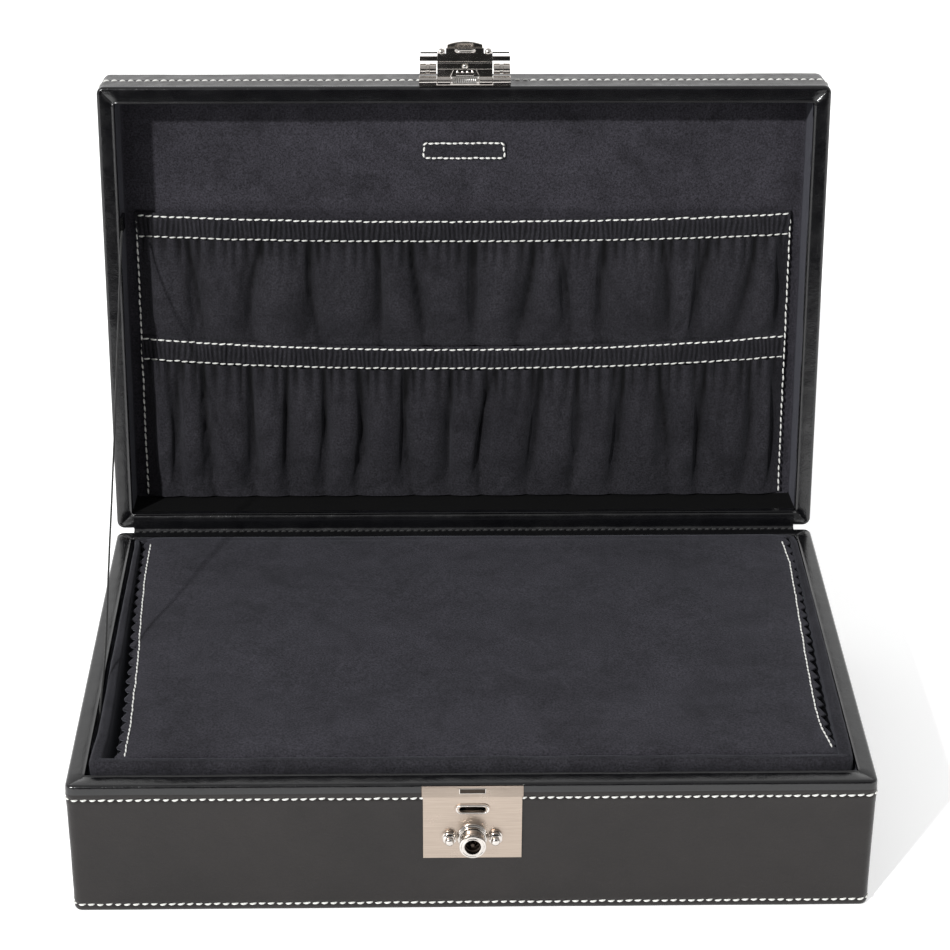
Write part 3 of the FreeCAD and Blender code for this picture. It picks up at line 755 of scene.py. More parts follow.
flap_low, flap_high = node_box("cover_flap")
TOOTH_PITCH = 6.2
LEFT_SEAM = [(78, 125.2), (47, 124.9), (15, 123.4), (-13, 121.8), (-39, 121.0), (-55, 120.4), (-80, 120.5)]
RIGHT_SEAM = [(82, 126.2), (58, 127.6), (17, 125.9), (-14, 124.5), (-48, 123.5), (-60, 123.9), (-72, 126.0)]
FLAP_BACK = 82.0
FLAP_TOP = float(flap_high[2])


def seam_line(side, y):
    """Distance of the white seam from the middle line, on the left or the right."""
    table = sorted(LEFT_SEAM if side < 0 else RIGHT_SEAM)
    return np.interp(y, [p[0] for p in table], [p[1] for p in table])


def flap_height(x, y):
    """The flap's top: a padded crown, limp side margins, and a turn down at the back."""
    side = np.sign(x)
    seam = np.where(side < 0, seam_line(-1, y), seam_line(1, y))
    across = np.clip(np.abs(x) / seam, 0, 1.1)
    ahead = np.clip((y - flap_low[1]) / (flap_high[1] - flap_low[1]), 0, 1)
    crown = 1.3 * (1 - np.clip(across, 0, 1)**4) * np.sin(ahead * math.pi)**0.5
    droop = np.where(side < 0, 1.6, 2.2 - 1.2 * ahead) * np.clip((np.abs(x) - seam) / 3.5, 0, 1.2)
    stitched = 0.5 * np.exp(-((np.abs(x) - seam) / 1.1)**2)
    over_back = 2.2 * np.clip((y - 79.0) / 3.0, 0, 1)**2
    rolled_front = 0.7 * np.clip(1 - (y - flap_low[1]) / 1.6, 0, 1)**2
    slack = 0.22 * ripple(x, y, 71, 80.0)
    return FLAP_TOP - 0.1 + crown - droop - stitched - over_back - rolled_front + slack


def tooth(y):
    """A zigzag from 0 to 1 for a pinked edge."""
    phase = (y - flap_low[1]) / TOOTH_PITCH
    return 1 - np.abs(2 * (phase - np.floor(phase)) - 1)


def cover_flap():
    """The flap over the tray: suede on a thin board, pinked along both sides."""
    rows = 213
    inner = np.linspace(-1, 1, 70)
    ys = np.linspace(flap_low[1] + 0.2, FLAP_BACK, rows)
    grid = []
    for y in ys:
        left = seam_line(-1, y)
        right = seam_line(1, y)
        middle = np.where(inner < 0, inner * (left - 1.5), inner * (right - 1.5))
        reach = [1.0 + 2.9 * tooth(y) * step for step in (0.35, 0.7, 1.0)]
        left_margin = [-(left + r) for r in reversed(reach)] + [-(left + 0.5), -left, -(left - 0.7)]
        right_margin = [right - 0.7, right, right + 0.5] + [right + r for r in reach]
        x = np.concatenate([left_margin, middle, right_margin])
        grid.append(np.column_stack([x, np.full(len(x), y), flap_height(x, np.full(len(x), y))]))
    points = np.array(grid).reshape(-1, 3)
    piece = piece_from("flap_cover", points, grid_faces(rows, len(grid[0])), BASE, None, "suede", SUEDE)
    thicken(piece, 1.2)
    settle_modifiers(piece)
    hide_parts("cover_flap")
    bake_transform(piece)
    return piece


def flap_stitches():
    """White seams just inside both pinked edges of the flap."""
    rows = []
    for side, front in ((-1, flap_low[1] + 1.5), (1, -72.5)):
        y = np.linspace(flap_high[1] - 2.0, front, 90)
        x = side * seam_line(side, y)
        line = np.column_stack([x, y, flap_height(x, y) + 0.1])
        rows.append(evenly(line, 2.6, closed=False))
    level_stitches("flap_seams", rows, BASE, "flap", "suede", 72, length=2.3, width=0.62, slant=4.0)


cover_flap()
flap_stitches()


# ---------------------------------------------------------------- the lid's gathered pockets

PANEL = FLOOR + 0.2
SEAM_X = 129.0


def lid_y(up):
    """The lid frame's Y for a distance up the lid from the hinge line."""
    return up - HALF_Y


def sag(x, ends, middle):
    """Height up the lid of a seam that hangs between the pocket's side seams."""
    return ends + (middle - ends) * (1 - (x / SEAM_X)**2)


def band_out(x):
    """How far an elastic band stands off the panel."""
    return 1.4 + 3.2 * (1 - (x / SEAM_X)**4)


def gathered_band(name, low, high, node, seed):
    """An elastic in a channel of suede that it puckers into fine upright ridges."""
    rng = np.random.default_rng(seed)
    columns = 700
    rows = 15
    x = np.linspace(-SEAM_X, SEAM_X, columns)
    ridge = np.cumsum(rng.normal(1.0, 0.22, columns))
    ridge_pitch = 1.9
    phase = ridge / ridge[-1] * (2 * SEAM_X / ridge_pitch) * 2 * math.pi
    points = []
    crease_shade = []
    for row in range(rows):
        v = row / (rows - 1)
        bottom = sag(x, *low) - 0.8
        top = sag(x, *high) + 1.2
        up = bottom + (top - bottom) * v
        swell = math.sin(v * math.pi)**0.6
        drift = 1.6 * np.sin(v * 2.4 + x * 0.31 + seed)
        size = 0.40 + 0.16 * np.sin(x * 0.9 + seed) + 0.1 * np.sin(x * 2.3)
        bump = size * np.sin(phase + drift)
        out = PANEL + band_out(x) + 0.9 * swell + bump * (0.55 + 0.45 * swell)
        points.append(np.column_stack([x, lid_y(up), out]))
        # Painted shade in the gaps between the elastic's ridges.
        crease_shade.append(np.clip(0.42 - 0.5 * np.sin(phase + drift), 0, 0.8) * swell)
    grid = np.concatenate(points)
    piece = piece_from(name, grid, grid_faces(rows, columns), LID, "lid", "suede", POCKET)
    mark_crease_shade(piece, crease_shade)
    thicken(piece, 0.8)
    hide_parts(node)
    return piece


CLOTH_SCALE = 10 * MM
CLOTH_FRAMES = 24
SLACK = 1.05
SETTLE_LIMIT = 4.0


def settled(start, flat, faces, sewn):
    """Cloth that starts gathered and buckles towards its own flat size against the panel."""
    scene = bpy.context.scene
    cloth = add_object("settling", start * CLOTH_SCALE, faces)
    cloth.shape_key_add(name="start")
    rest = cloth.shape_key_add(name="flat")
    rest.data.foreach_set("co", (flat * CLOTH_SCALE).ravel())
    rest.value = 0
    cloth.vertex_groups.new(name="sewn").add([int(i) for i in sewn], 1.0, "REPLACE")
    modifier = cloth.modifiers.new("cloth", "CLOTH")
    setting = modifier.settings
    setting.rest_shape_key = rest
    setting.vertex_group_mass = "sewn"
    setting.quality = 8
    setting.mass = 0.25
    setting.air_damping = 3
    setting.tension_stiffness = 40
    setting.compression_stiffness = 40
    setting.shear_stiffness = 15
    setting.bending_stiffness = 0.4
    setting.use_pressure = True
    setting.uniform_pressure_force = 0.5
    contact = modifier.collision_settings
    contact.distance_min = 0.3 * CLOTH_SCALE
    contact.use_self_collision = True
    contact.self_distance_min = 0.5 * CLOTH_SCALE

    wall = add_object("panel", *square(2 * HALF_X * CLOTH_SCALE, PANEL * CLOTH_SCALE))
    wall.modifiers.new("collision", "COLLISION")
    wall.collision.thickness_outer = 0.3 * CLOTH_SCALE
    scene.gravity = (0, -9.8 * math.cos(LEAN), -9.8 * math.sin(LEAN))
    for number in range(1, CLOTH_FRAMES + 1):
        scene.frame_set(number)
    result = final_mesh(cloth)
    points = np.empty(len(result.vertices) * 3)
    result.vertices.foreach_get("co", points)
    bpy.data.objects.remove(cloth)
    bpy.data.objects.remove(wall)
    scene.frame_set(1)
    return points.reshape(-1, 3) / CLOTH_SCALE


def crease_lines(rng, narrow, wide):
    """Places across a pocket where its puffs meet, at irregular distances."""
    places = [-SEAM_X]
    while places[-1] < SEAM_X:
        places.append(places[-1] + rng.uniform(narrow, wide))
    places = np.array(places)
    return (places - places[0]) / (places[-1] - places[0]) * 2 * SEAM_X - SEAM_X


def gathered_pocket(name, bottom, top, node, seed, narrow, wide):
    """A pocket's face: a wide sheet of suede gathered along its band, in puffs parted by creases."""
    rng = np.random.default_rng(seed)
    tall = sag(0, *top) - bottom
    columns = 300
    row_pitch = 1.6
    rows = int(tall / row_pitch)
    creases = crease_lines(rng, narrow, wide)
    count = len(creases)
    lean = rng.normal(0, 4.2, count)
    bow = rng.normal(0, 1.8, count)
    lean[[0, -1]] = bow[[0, -1]] = 0
    height = rng.uniform(4.2, 6.8, count)
    blunt = rng.uniform(0.5, 0.75, count)
    x = np.linspace(-SEAM_X, SEAM_X, columns)
    start = []
    crease_shade = []
    middle = None
    for row in range(rows):
        v = row / (rows - 1)
        up = bottom + (sag(x, *top) - bottom) * v
        line = creases + lean * (v - 0.5) + bow * math.sin(v * math.pi)
        line = np.maximum.accumulate(line + np.arange(count) * 1e-3)
        which = np.clip(np.searchsorted(line, x, side="right") - 1, 0, count - 2)
        share = np.clip((x - line[which]) / np.maximum(line[which + 1] - line[which], 0.5), 0, 1)
        round_off = np.maximum(1 - np.abs(2 * share - 1)**2.2, 0)**blunt[which]
        rise = min(1.0, 0.3 + v * 2.2) * (1 - 0.75 * max(0.0, (v - 0.6) / 0.4)**1.3)
        edge = np.clip((SEAM_X - np.abs(x)) / 7, 0, 1)
        pucker = 1.0 * max(0.0, (v - 0.72) / 0.28)**0.8 * np.sin(x * 1.35 + 1.1 * np.sin(x * 0.37 + seed))
        base = 0.7 + band_out(x) * v**2.2
        out = PANEL + base + (height[which] * round_off * rise + pucker + 0.8) * edge
        start.append(np.column_stack([x, lid_y(up), out]))
        # Painted shade in the creases between puffs and between the puckers under the band.
        between = np.clip(-pucker, 0, 1) * 0.9
        crease_shade.append(np.clip((1 - round_off)**1.05 * min(1.0, 0.45 + v) * edge + between, 0, 1))
        if middle is None and v > 0.5:
            middle = out
    start = np.concatenate(start)
    steps = np.hypot(np.diff(x), np.diff(middle)) * SLACK
    across = np.concatenate([[0], np.cumsum(steps)])
    across = across - across[-1] / 2
    tall_flat = tall * SLACK
    flat = []
    for row in range(rows):
        level = np.full(columns, lid_y(bottom + tall_flat * row / (rows - 1)))
        flat.append(np.column_stack([across, level, np.full(columns, PANEL)]))
    faces = grid_faces(rows, columns)
    index = np.arange(rows * columns).reshape(rows, columns)
    sewn = np.unique(np.concatenate([index[0], index[-1], index[:, 0], index[:, -1]]))
    shape = settled(start, np.concatenate(flat), faces, sewn)
    moved = shape - start
    far = np.linalg.norm(moved, axis=1, keepdims=True)
    shape = start + moved * np.minimum(1, SETTLE_LIMIT / np.maximum(far, 1e-9))
    shape[:, 2] = np.maximum(shape[:, 2], PANEL + 0.3)
    if bottom > LOWER_BOTTOM:
        behind = np.clip((shape[:, 1] - lid_y(sag(shape[:, 0], *LOWER_HIGH) + 0.5)) / 5, 0, 1)
        below = PANEL + band_out(shape[:, 0]) - 0.6 + 12 * behind
        shape[:, 2] = np.minimum(shape[:, 2], below)
    piece = piece_from(name, shape, faces, LID, None, "suede", POCKET)
    mark_crease_shade(piece, crease_shade)
    smooth = piece.modifiers.new("smooth", "SUBSURF")
    smooth.levels = 1
    smooth.render_levels = 1
    settle_modifiers(piece)
    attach(piece, "lid")
    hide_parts(node)
    return piece


LOWER_BOTTOM = 7.5
LOWER_LOW = (66.5, 62.8)
LOWER_HIGH = (75.0, 70.6)
UPPER_BOTTOM = 79.5
UPPER_LOW = (117.2, 115.4)
UPPER_HIGH = (125.5, 123.3)
gathered_pocket("upper_pocket_cloth", UPPER_BOTTOM - 8, UPPER_LOW, "upper_pocket", 84, 11, 27)
gathered_band("upper_band", UPPER_LOW, UPPER_HIGH, "upper_elastic", 82)
gathered_pocket("lower_pocket_cloth", LOWER_BOTTOM, LOWER_LOW, "lower_pocket", 83, 11, 24)
gathered_band("lower_band", LOWER_LOW, LOWER_HIGH, "lower_elastic", 81)


def pocket_seams():
    """White stitching along both bands and down the pockets' side seams."""
    band_lift = 0.75
    side_lift = 1.9
    rows = []
    x = np.linspace(-SEAM_X + 0.5, SEAM_X - 0.5, 120)
    for edge in (LOWER_LOW, LOWER_HIGH, UPPER_LOW, UPPER_HIGH):
        line = np.column_stack([x, lid_y(sag(x, *edge)), PANEL + band_out(x) + band_lift])
        rows.append(evenly(line, 3.05, closed=False))
    for side in (-1, 1):
        up = np.linspace(UPPER_HIGH[0] - 1.5, LOWER_BOTTOM + 0.5, 60)
        seam_x = np.full(len(up), side * (SEAM_X - 0.2))
        line = np.column_stack([seam_x, lid_y(up), np.full(len(up), PANEL + side_lift)])
        rows.append(evenly(line, 3.0, closed=False))
    level_stitches("pocket_seams", rows, LID, "lid", "suede", 85, length=2.55, width=0.7, slant=5.0)


pocket_seams()


def label_patch():
    """A small blank label, sewn on with a rounded white frame of stitches."""
    low, high = node_box("label_patch")
    half_x = (high[0] - low[0]) / 2
    half_up = 3.75
    centre = lid_y(149.5 + 1.2)
    xs = np.linspace(-half_x + 2.5, half_x - 2.5, 14)
    ys = np.linspace(-1.2, 1.2, 3)
    rings = []
    for inset, h in ((0.0, 0.0), (0.0, 0.45), (0.35, 0.75), (1.2, 0.8), (2.0, 0.55)):
        flat = outline(half_x - inset, half_up - inset, max(1.6 - inset, 0.5), xs, ys)[0]
        rings.append(np.column_stack([flat[:, 0], flat[:, 1] + centre, np.full(len(flat), PANEL + h)]))
    points, faces = ring_shell(rings, cap_last=True)
    piece = piece_from("label_patch_cloth", points, faces, LID, "lid", "suede", POCKET)
    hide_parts("label_patch")
    flat = outline(half_x - 0.8, half_up - 0.8, 1.2, xs, ys)[0]
    line = np.column_stack([flat[:, 0], flat[:, 1] + centre, np.full(len(flat), PANEL + 0.75)])
    rows = [evenly(line, 2.35)]
    level_stitches("label_stitches", rows, LID, "lid", "suede", 86, length=2.1, width=0.8, slant=0.0)


label_patch()


# ---------------------------------------------------------------- hinge leather and stay cord

def hinge_leather():
    """The leather strip that joins lid and base, folded into the hinge line."""
    half_x = node_box("hinge_strip")[1][0] - 0.3
    z = BASE_HEIGHT
    profile = [(HALF_Y - 6.3, z + 0.05), (HALF_Y - 6.0, z + 0.42), (HALF_Y - 4.5, z + 0.5)]
    profile += [(HALF_Y - 2.5, z + 0.48), (HALF_Y - 1.2, z + 0.5), (HALF_Y - 0.5, z + 0.75)]
    for up in (0.6, 1.6, 3.2, 5.0, 5.6):
        point = HINGE / MM + UP * up + FACING * (0.45 if up < 5.3 else 0.05)
        profile.append((point.y, point.z))
    xs = np.linspace(-half_x, half_x, 110)
    points = []
    for y, level in profile:
        wave = 0.08 * ripple(xs, np.full(len(xs), y * 3), 91, 26.0)
        points.append(np.column_stack([xs, np.full(len(xs), y) + wave, level + np.abs(wave)]))
    piece = piece_from("hinge_leather", np.concatenate(points), grid_faces(len(profile), len(xs)),
                       BASE, None, "rim_leather", RIM)
    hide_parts("hinge_strip")
    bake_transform(piece)
    line = np.column_stack([xs, np.full(len(xs), HALF_Y - 1.6), np.full(len(xs), z + 0.55)])
    rows = [evenly(line, 2.8, closed=False)]
    seam = level_stitches("hinge_stitches", rows, BASE, "base", "black_cord", 92, length=2.0, width=0.6,
                          slant=8.0)
    seam.data.materials[0] = CORD


hinge_leather()

CORD_X = -0.1328
CORD_ROUTE = [
    (0.1070, 0.1765),
    (0.0800, 0.1512),
    (0.0530, 0.1248),
    (0.0270, 0.1015),
    (0.0030, 0.0825),
    (-0.0100, 0.0685),
    (-0.0210, 0.0605),
    (-0.0340, 0.0565),
    (-0.0460, 0.0505),
    (-0.0520, 0.0420),
]


def smooth_route(points):
    """Points read along the NURBS line that a cord follows."""
    curve = bpy.data.curves.new("route", "CURVE")
    curve.dimensions = "3D"
    spline = curve.splines.new("NURBS")
    spline.points.add(len(points) - 1)
    for target, point in zip(spline.points, points):
        target.co = (*point, 1)
    spline.order_u = 3
    spline.use_endpoint_u = True
    spline.resolution_u = 12
    carrier = bpy.data.objects.new("route", curve)
    bpy.context.scene.collection.objects.link(carrier)
    bpy.context.view_layer.update()
    mesh = bpy.data.meshes.new_from_object(carrier)
    line = np.array([tuple(v.co) for v in mesh.vertices])
    bpy.data.objects.remove(carrier)
    bpy.data.curves.remove(curve)
    bpy.data.meshes.remove(mesh)
    return line


def stay_cord():
    """The thin cord that stops the lid, from a tab on the lid to a tab in the base."""
    radius = 0.0004
    strand_turn = 2600
    line = smooth_route([(CORD_X, y, z) for y, z in CORD_ROUTE])
    ahead = unit(np.gradient(line, axis=0))
    side = np.tile([1.0, 0.0, 0.0], (len(line), 1))
    across = np.cross(ahead, side)
    travelled = travel(line)
    rings = []
    turns = np.linspace(0, 2 * math.pi, 12, endpoint=False)
    for point, one, two, far in zip(line, side, across, travelled):
        lobes = radius * (0.93 + 0.07 * np.cos(3 * turns + far * strand_turn))
        ring = one * (lobes * np.cos(turns))[:, None] + two * (lobes * np.sin(turns))[:, None]
        rings.append(point + ring)
    points, faces = ring_shell(rings, True, True)
    piece = piece_from("stay_cord_line", points, faces, Matrix.Identity(4), None, "black_cord", CORD)
    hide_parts("stay_cord")
    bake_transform(piece)
    return piece


stay_cord()


# ---------------------------------------------------------------- lock and hasp

def lathe(profile, origin, axis, across, segments=56, capped=(True, True)):
    """A skin turned about an axis from a profile of (distance along, radius) points."""
    origin = np.array(origin, float)
    axis = np.array(axis, float)
    across = np.array(across, float)
    third = np.cross(axis, across)
    turn = np.linspace(0, 2 * math.pi, segments, endpoint=False)
    circle = np.cos(turn)[:, None] * across + np.sin(turn)[:, None] * third
    rings = [origin + axis * along + circle * max(radius, 0.01) for along, radius in profile]
    return ring_shell(rings, *capped)


def milled(points, low, high, ease=0.14):
    """A flat bar cut to an outline of (x, y) points between two levels, its edges eased."""
    form = bmesh.new()
    floor = [form.verts.new((x, y, low)) for x, y in points]
    roof = [form.verts.new((x, y, high)) for x, y in points]
    count = len(points)
    form.faces.new(list(reversed(floor)))
    form.faces.new(roof)
    for i in range(count):
        j = (i + 1) % count
        form.faces.new((floor[i], floor[j], roof[j], roof[i]))
    bmesh.ops.recalc_face_normals(form, faces=form.faces)
    bmesh.ops.bevel(form, geom=form.edges[:], offset=ease, segments=2, profile=0.6, affect="EDGES")
    form.verts.index_update()
    shape = np.array([tuple(v.co) for v in form.verts])
    faces = [tuple(v.index for v in face.verts) for face in form.faces]
    form.free()
    return shape, faces


def bar(x, y, level, ease=0.14):
    """A milled rectangular bar."""
    return milled([(x[0], y[0]), (x[1], y[0]), (x[1], y[1]), (x[0], y[1])], level[0], level[1], ease)


def tube_along(line, radius, around=10):
    """A round wire along a line of points."""
    line = np.array(line, float)
    ahead = unit(np.gradient(line, axis=0))
    side = np.cross(ahead[0], (0.3, 0.5, 0.81))
    rings = []
    turn = np.linspace(0, 2 * math.pi, around, endpoint=False)
    for point, direction in zip(line, ahead):
        side = side - direction * (side @ direction)
        side = side / np.linalg.norm(side)
        other = np.cross(direction, side)
        rings.append(point + radius * (np.cos(turn)[:, None] * side + np.sin(turn)[:, None] * other))
    return ring_shell(rings, True, True)


def metal_piece(name, shells, place, body, slot, node=None, materials=(POLISHED,)):
    """One piece of metalwork made of several skins, each in the material of its own number or the last."""
    faces = []
    tints = []
    start = 0
    for number, (shape, skin_faces) in enumerate(shells):
        faces += [tuple(start + corner for corner in face) for face in skin_faces]
        tints += [min(number, len(materials) - 1)] * len(skin_faces)
        start += len(shape)
    points = np.concatenate([shape for shape, _ in shells])
    piece = piece_from(name, points, faces, place, body, slot, *materials)
    piece.data.polygons.foreach_set("material_index", tints)
    piece.data.set_sharp_from_angle(angle=math.radians(38))
    even_shading(piece)
    if node:
        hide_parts(node)
    return piece


PLATE_FACE = -HALF_Y - 0.9
collar_low, collar_high = node_box("barrel_collar")
BARREL_Z = float(collar_low[2] + collar_high[2]) / 2
BARREL_PROUD = PLATE_FACE - float(node_box("lock_barrel")[0][1])
STUD_X = float(node_box("lock_studs")[1][0]) - 2.45
SLOT_Z = 43.1
OUTWARD = (0, -1, 0)
INWARD = (0, 1, 0)
SIDEWAYS = (1, 0, 0)
UPWARD = (0, 0, 1)


def lock_fittings():
    """The stepped collar, the push barrel with its bore, the key pin and the two studs."""
    def turned(profile, x=0.0, segments=56, capped=(True, True)):
        return lathe(profile, (x, PLATE_FACE, BARREL_Z), OUTWARD, SIDEWAYS, segments, capped)

    nickel_slot = "polished_nickel"
    collar = [(0.3, 4.45), (0, 4.5), (0, 5.4), (0.35, 5.4), (0.5, 5.25), (0.6, 4.95), (0.75, 5.15)]
    collar += [(1.05, 5.2), (1.25, 5.05), (1.35, 4.8), (1.75, 4.75), (1.8, 4.6), (1.8, 4.45), (0.3, 4.45)]
    ring = turned(collar, capped=(False, False))
    metal_piece("barrel_collar_ring", [ring], BASE, "base", nickel_slot, "barrel_collar")
    p = BARREL_PROUD
    bore = 2.85
    body = [(1.75, 0.1), (1.75, 4.3), (p - 2.3, 4.3), (p - 2.2, 4.15), (p - 2.0, 4.1), (p - 1.9, 4.3)]
    body += [(p - 1.8, 4.6), (p - 1.6, 4.7), (p - 1.15, 4.7), (p - 1.05, 4.55), (p - 0.95, 4.7)]
    body += [(p - 0.5, 4.7), (p - 0.2, 4.6), (p - 0.02, 4.3), (p, 4.05), (p - 0.15, 3.9), (p - 0.15, 3.5)]
    body += [(p, 3.3), (p, 3.1), (p - 0.12, bore + 0.04), (p - 0.5, bore)]
    throat = [(p - 0.5, bore), (p - 1.6, bore), (p - 1.7, bore - 0.3), (p - 2.2, bore - 0.32)]
    throat += [(p - 2.3, bore - 0.05), (p - 3.6, bore - 0.1), (p - 3.7, bore - 0.5), (p - 4.5, bore - 0.55)]
    throat += [(p - 4.55, 0.1)]
    # The bore's throat and the key pin are dark nickel, painted shade inside the barrel.
    shells = [turned(body, capped=(True, False)), turned(throat, capped=(False, True))]
    metal_piece("push_barrel", shells, BASE, "barrel", nickel_slot, "lock_barrel", (POLISHED, DARK_BORE))
    pin = [(1.9, 0.1), (1.9, 2.1), (2.1, 2.1), (2.3, 1.6), (2.4, 0.85), (p - 1.6, 0.8), (p - 1.2, 0.6)]
    pin += [(p - 1.1, 0.05)]
    shells = [turned(pin, segments=24)]
    metal_piece("key_pin", shells, BASE, "key_plug", nickel_slot, "key_plug", (DARK_BORE,))
    stud = [(0, 0.1), (0, 2.45), (0.3, 2.45), (0.45, 2.2), (0.55, 1.85), (0.8, 1.8), (0.95, 2.15)]
    stud += [(1.2, 2.38), (1.6, 2.35), (1.85, 2.05), (2.0, 1.35), (2.2, 1.2), (2.4, 1.3), (2.6, 1.55)]
    stud += [(3.1, 1.62), (3.6, 1.4), (3.9, 0.85), (4.0, 0.05)]
    studs = [turned(stud, side * STUD_X, 40) for side in (-1, 1)]
    metal_piece("plate_studs", studs, BASE, "base", nickel_slot, "lock_studs")


def stadium(half_x, half_z, middle, y, steps=14):
    """A closed line round a slot with round ends."""
    turn = np.linspace(-math.pi / 2, math.pi / 2, steps)
    right = [(half_x + half_z * math.cos(t), y, middle + half_z * math.sin(t)) for t in turn]
    left = [(-x, y, 2 * middle - z) for x, y, z in right]
    return right + left + right[:1]


def plate_details():
    """The drawn rim round the staple's slot and the framed blank recess on the plate's lip."""
    rim = tube_along(stadium(3.9, 1.55, SLOT_Z, PLATE_FACE - 0.1), 0.45, 12)
    metal_piece("slot_rim", [rim], BASE, "base", "polished_nickel")
    lean = np.array([0.0, LIP_LEAN, 1.0]) / math.hypot(LIP_LEAN, 1.0)
    outward = np.array([0.0, -lean[2], lean[1]])
    middle = np.array([0.0, PLATE_FACE + 2.2 * LIP_LEAN, PLATE_BEND + 2.2]) + outward * 0.04
    side = np.array(SIDEWAYS)
    turn = [(-4.5, -0.9), (4.5, -0.9), (4.5, 0.9), (-4.5, 0.9), (-4.5, -0.9)]
    frame_line = [middle + side * x + lean * z for x, z in turn]
    dense = []
    for first, second in zip(frame_line[:-1], frame_line[1:]):
        dense += [first + (second - first) * t for t in np.linspace(0, 1, 12, endpoint=False)]
    dense.append(frame_line[0])
    around = [side * x + lean * z for x, z in turn[:4]]
    corners = np.array([middle + offset + outward * h for h in (-0.05, 0.06) for offset in around])
    faces = [(3, 2, 1, 0), (4, 5, 6, 7), (0, 1, 5, 4), (1, 2, 6, 5), (2, 3, 7, 6), (3, 0, 4, 7)]
    shells = [tube_along(dense, 0.14, 8), (corners, faces)]
    metal_piece("lip_recess", shells, BASE, "base", "brushed_nickel", None, (POLISHED, DARK_BORE))


lock_fittings()
plate_details()

PIN_Y = HALF_Y + 2.2
PIN_H = LID_HEIGHT - 1.0


def across_pair(x, make):
    """The same bar on both sides of the middle."""
    return [make(tuple(sorted((side * x[0], side * x[1])))) for side in (-1, 1)]


def hasp_fittings():
    """The swinging hasp with its stepped body, wings, thumb edge and staple loop."""
    def up(v):
        return PIN_Y + v

    def depth(low, high):
        return (PIN_H + low, PIN_H + high)

    body_x = 10.5
    tab_x = 7.2
    shells = []
    for side in (-1, 1):
        x = sorted((side * 5.4, side * body_x))
        wide = x[1] - x[0]
        knuckle = [(0, 0.1), (0, 1.4), (0.2, 1.65), (wide - 0.2, 1.65), (wide, 1.4), (wide, 0.1)]
        shells.append(lathe(knuckle, (x[0], PIN_Y, PIN_H), SIDEWAYS, INWARD, 32))
    apron = [(-body_x, up(1.4)), (body_x, up(1.4)), (body_x, up(4.3)), (-body_x, up(4.3))]
    shells.append(milled(apron, *depth(-0.5, 0.55)))
    shells.append(bar((-3.4, 3.4), (up(1.9), up(3.1)), depth(0.4, 0.95), 0.25))
    bead = [(-0.2, 0.1), (-0.2, 0.5), (0.25, 0.45), (0.45, 0.05)]
    for x in (-2.9, -0.9, 0.9, 2.9):
        shells.append(lathe(bead, (x, up(3.3), PIN_H + 0.6), UPWARD, SIDEWAYS, 16))
    for side in (-1, 1):
        edge = np.linspace((side * 5.6, up(1.5), PIN_H + 0.58), (side * 4.4, up(4.1), PIN_H + 0.58), 6)
        shells.append(tube_along(edge, 0.16, 8))
    shells.append(bar((-body_x, body_x), (up(4.35), up(6.7)), depth(-0.5, 0.3)))
    shells.append(bar((-body_x, body_x), (up(6.7), up(7.25)), depth(-0.4, 0.75), 0.1))
    steps = [(-body_x, up(7.3)), (body_x, up(7.3)), (body_x, up(10.3)), (tab_x, up(10.3))]
    steps += [(tab_x, up(12.4)), (-tab_x, up(12.4)), (-tab_x, up(10.3)), (-body_x, up(10.3))]
    shells.append(milled(steps, *depth(-0.5, 0.5)))
    shells += across_pair((10.4, 17.2), lambda x: bar(x, (up(7.4), up(9.2)), depth(-1.2, 0.2)))
    shells += across_pair((10.4, 16.9), lambda x: bar(x, (up(10.1), up(10.7)), depth(-1.6, -0.6), 0.1))
    for side in (-1, 1):
        x = sorted((side * 10.8, side * 17.2))
        roll = [(0, 0.1), (0, 1.8), (0.25, 2.05), (2.4, 2.1), (2.6, 1.85), (3.6, 1.85), (3.8, 2.1)]
        roll += [(6.15, 2.05), (6.4, 1.8), (6.4, 0.1)]
        shells.append(lathe(roll, (x[0], up(4.3), PIN_H - 0.6), SIDEWAYS, INWARD, 32))
        boss = [(-1.4, 0.1), (-1.4, 1.3), (0.2, 1.3), (0.6, 1.05), (0.8, 0.6), (0.85, 0.05)]
        shells.append(lathe(boss, (side * 8.9, up(10.9), PIN_H - 0.4), (0, 0.35, 0.94), SIDEWAYS, 28))
    arc = np.radians(np.linspace(60, 120, 31))
    thumb_r = 19.5
    thumb_y = up(14.6) - thumb_r
    edge = [(thumb_r * math.cos(t), thumb_y + thumb_r * math.sin(t)) for t in arc]
    thumb = [(7.2, up(8.0))] + [p for p in edge if abs(p[0]) <= 7.2] + [(-7.2, up(8.0))]
    shells.append(milled(thumb, *depth(-2.4, -0.9), 0.3))
    dome = [(-0.3, 0.1), (-0.3, 1.25), (0.2, 1.2), (0.55, 0.9), (0.75, 0.5), (0.8, 0.05)]
    shells.append(lathe(dome, (0, up(5.4), PIN_H + 0.25), UPWARD, SIDEWAYS, 28))
    metal_piece("hasp_body", shells, LID, "hasp", "polished_nickel", "hasp")

    staple_x = 3.4
    loop_r = 1.6
    foot = PIN_H + 0.3
    reach = foot + 5.6
    corner = np.radians(np.linspace(0, 90, 8))
    right = [(staple_x, foot)]
    for turn in corner:
        right.append((staple_x - loop_r + loop_r * math.cos(turn), reach - loop_r + loop_r * math.sin(turn)))
    whole = right + [(-x, h) for x, h in reversed(right)]
    line = [(x, up(12.1), h) for x, h in whole]
    metal_piece("staple_loop", [tube_along(line, 0.62, 14)], LID, "hasp", "polished_nickel", "hasp_staple")

    turns = 13
    t = np.linspace(0, turns * 2 * math.pi, turns * 18)
    coil_r = 1.25
    x = np.linspace(-4.6, 4.6, len(t))
    coil = np.column_stack([x, PIN_Y + coil_r * np.cos(t), PIN_H + coil_r * np.sin(t)])
    metal_piece("hasp_coil", [tube_along(coil, 0.26, 8)], LID, "lid", "spring_steel", "hasp_spring", (STEEL,))


hasp_fittings()


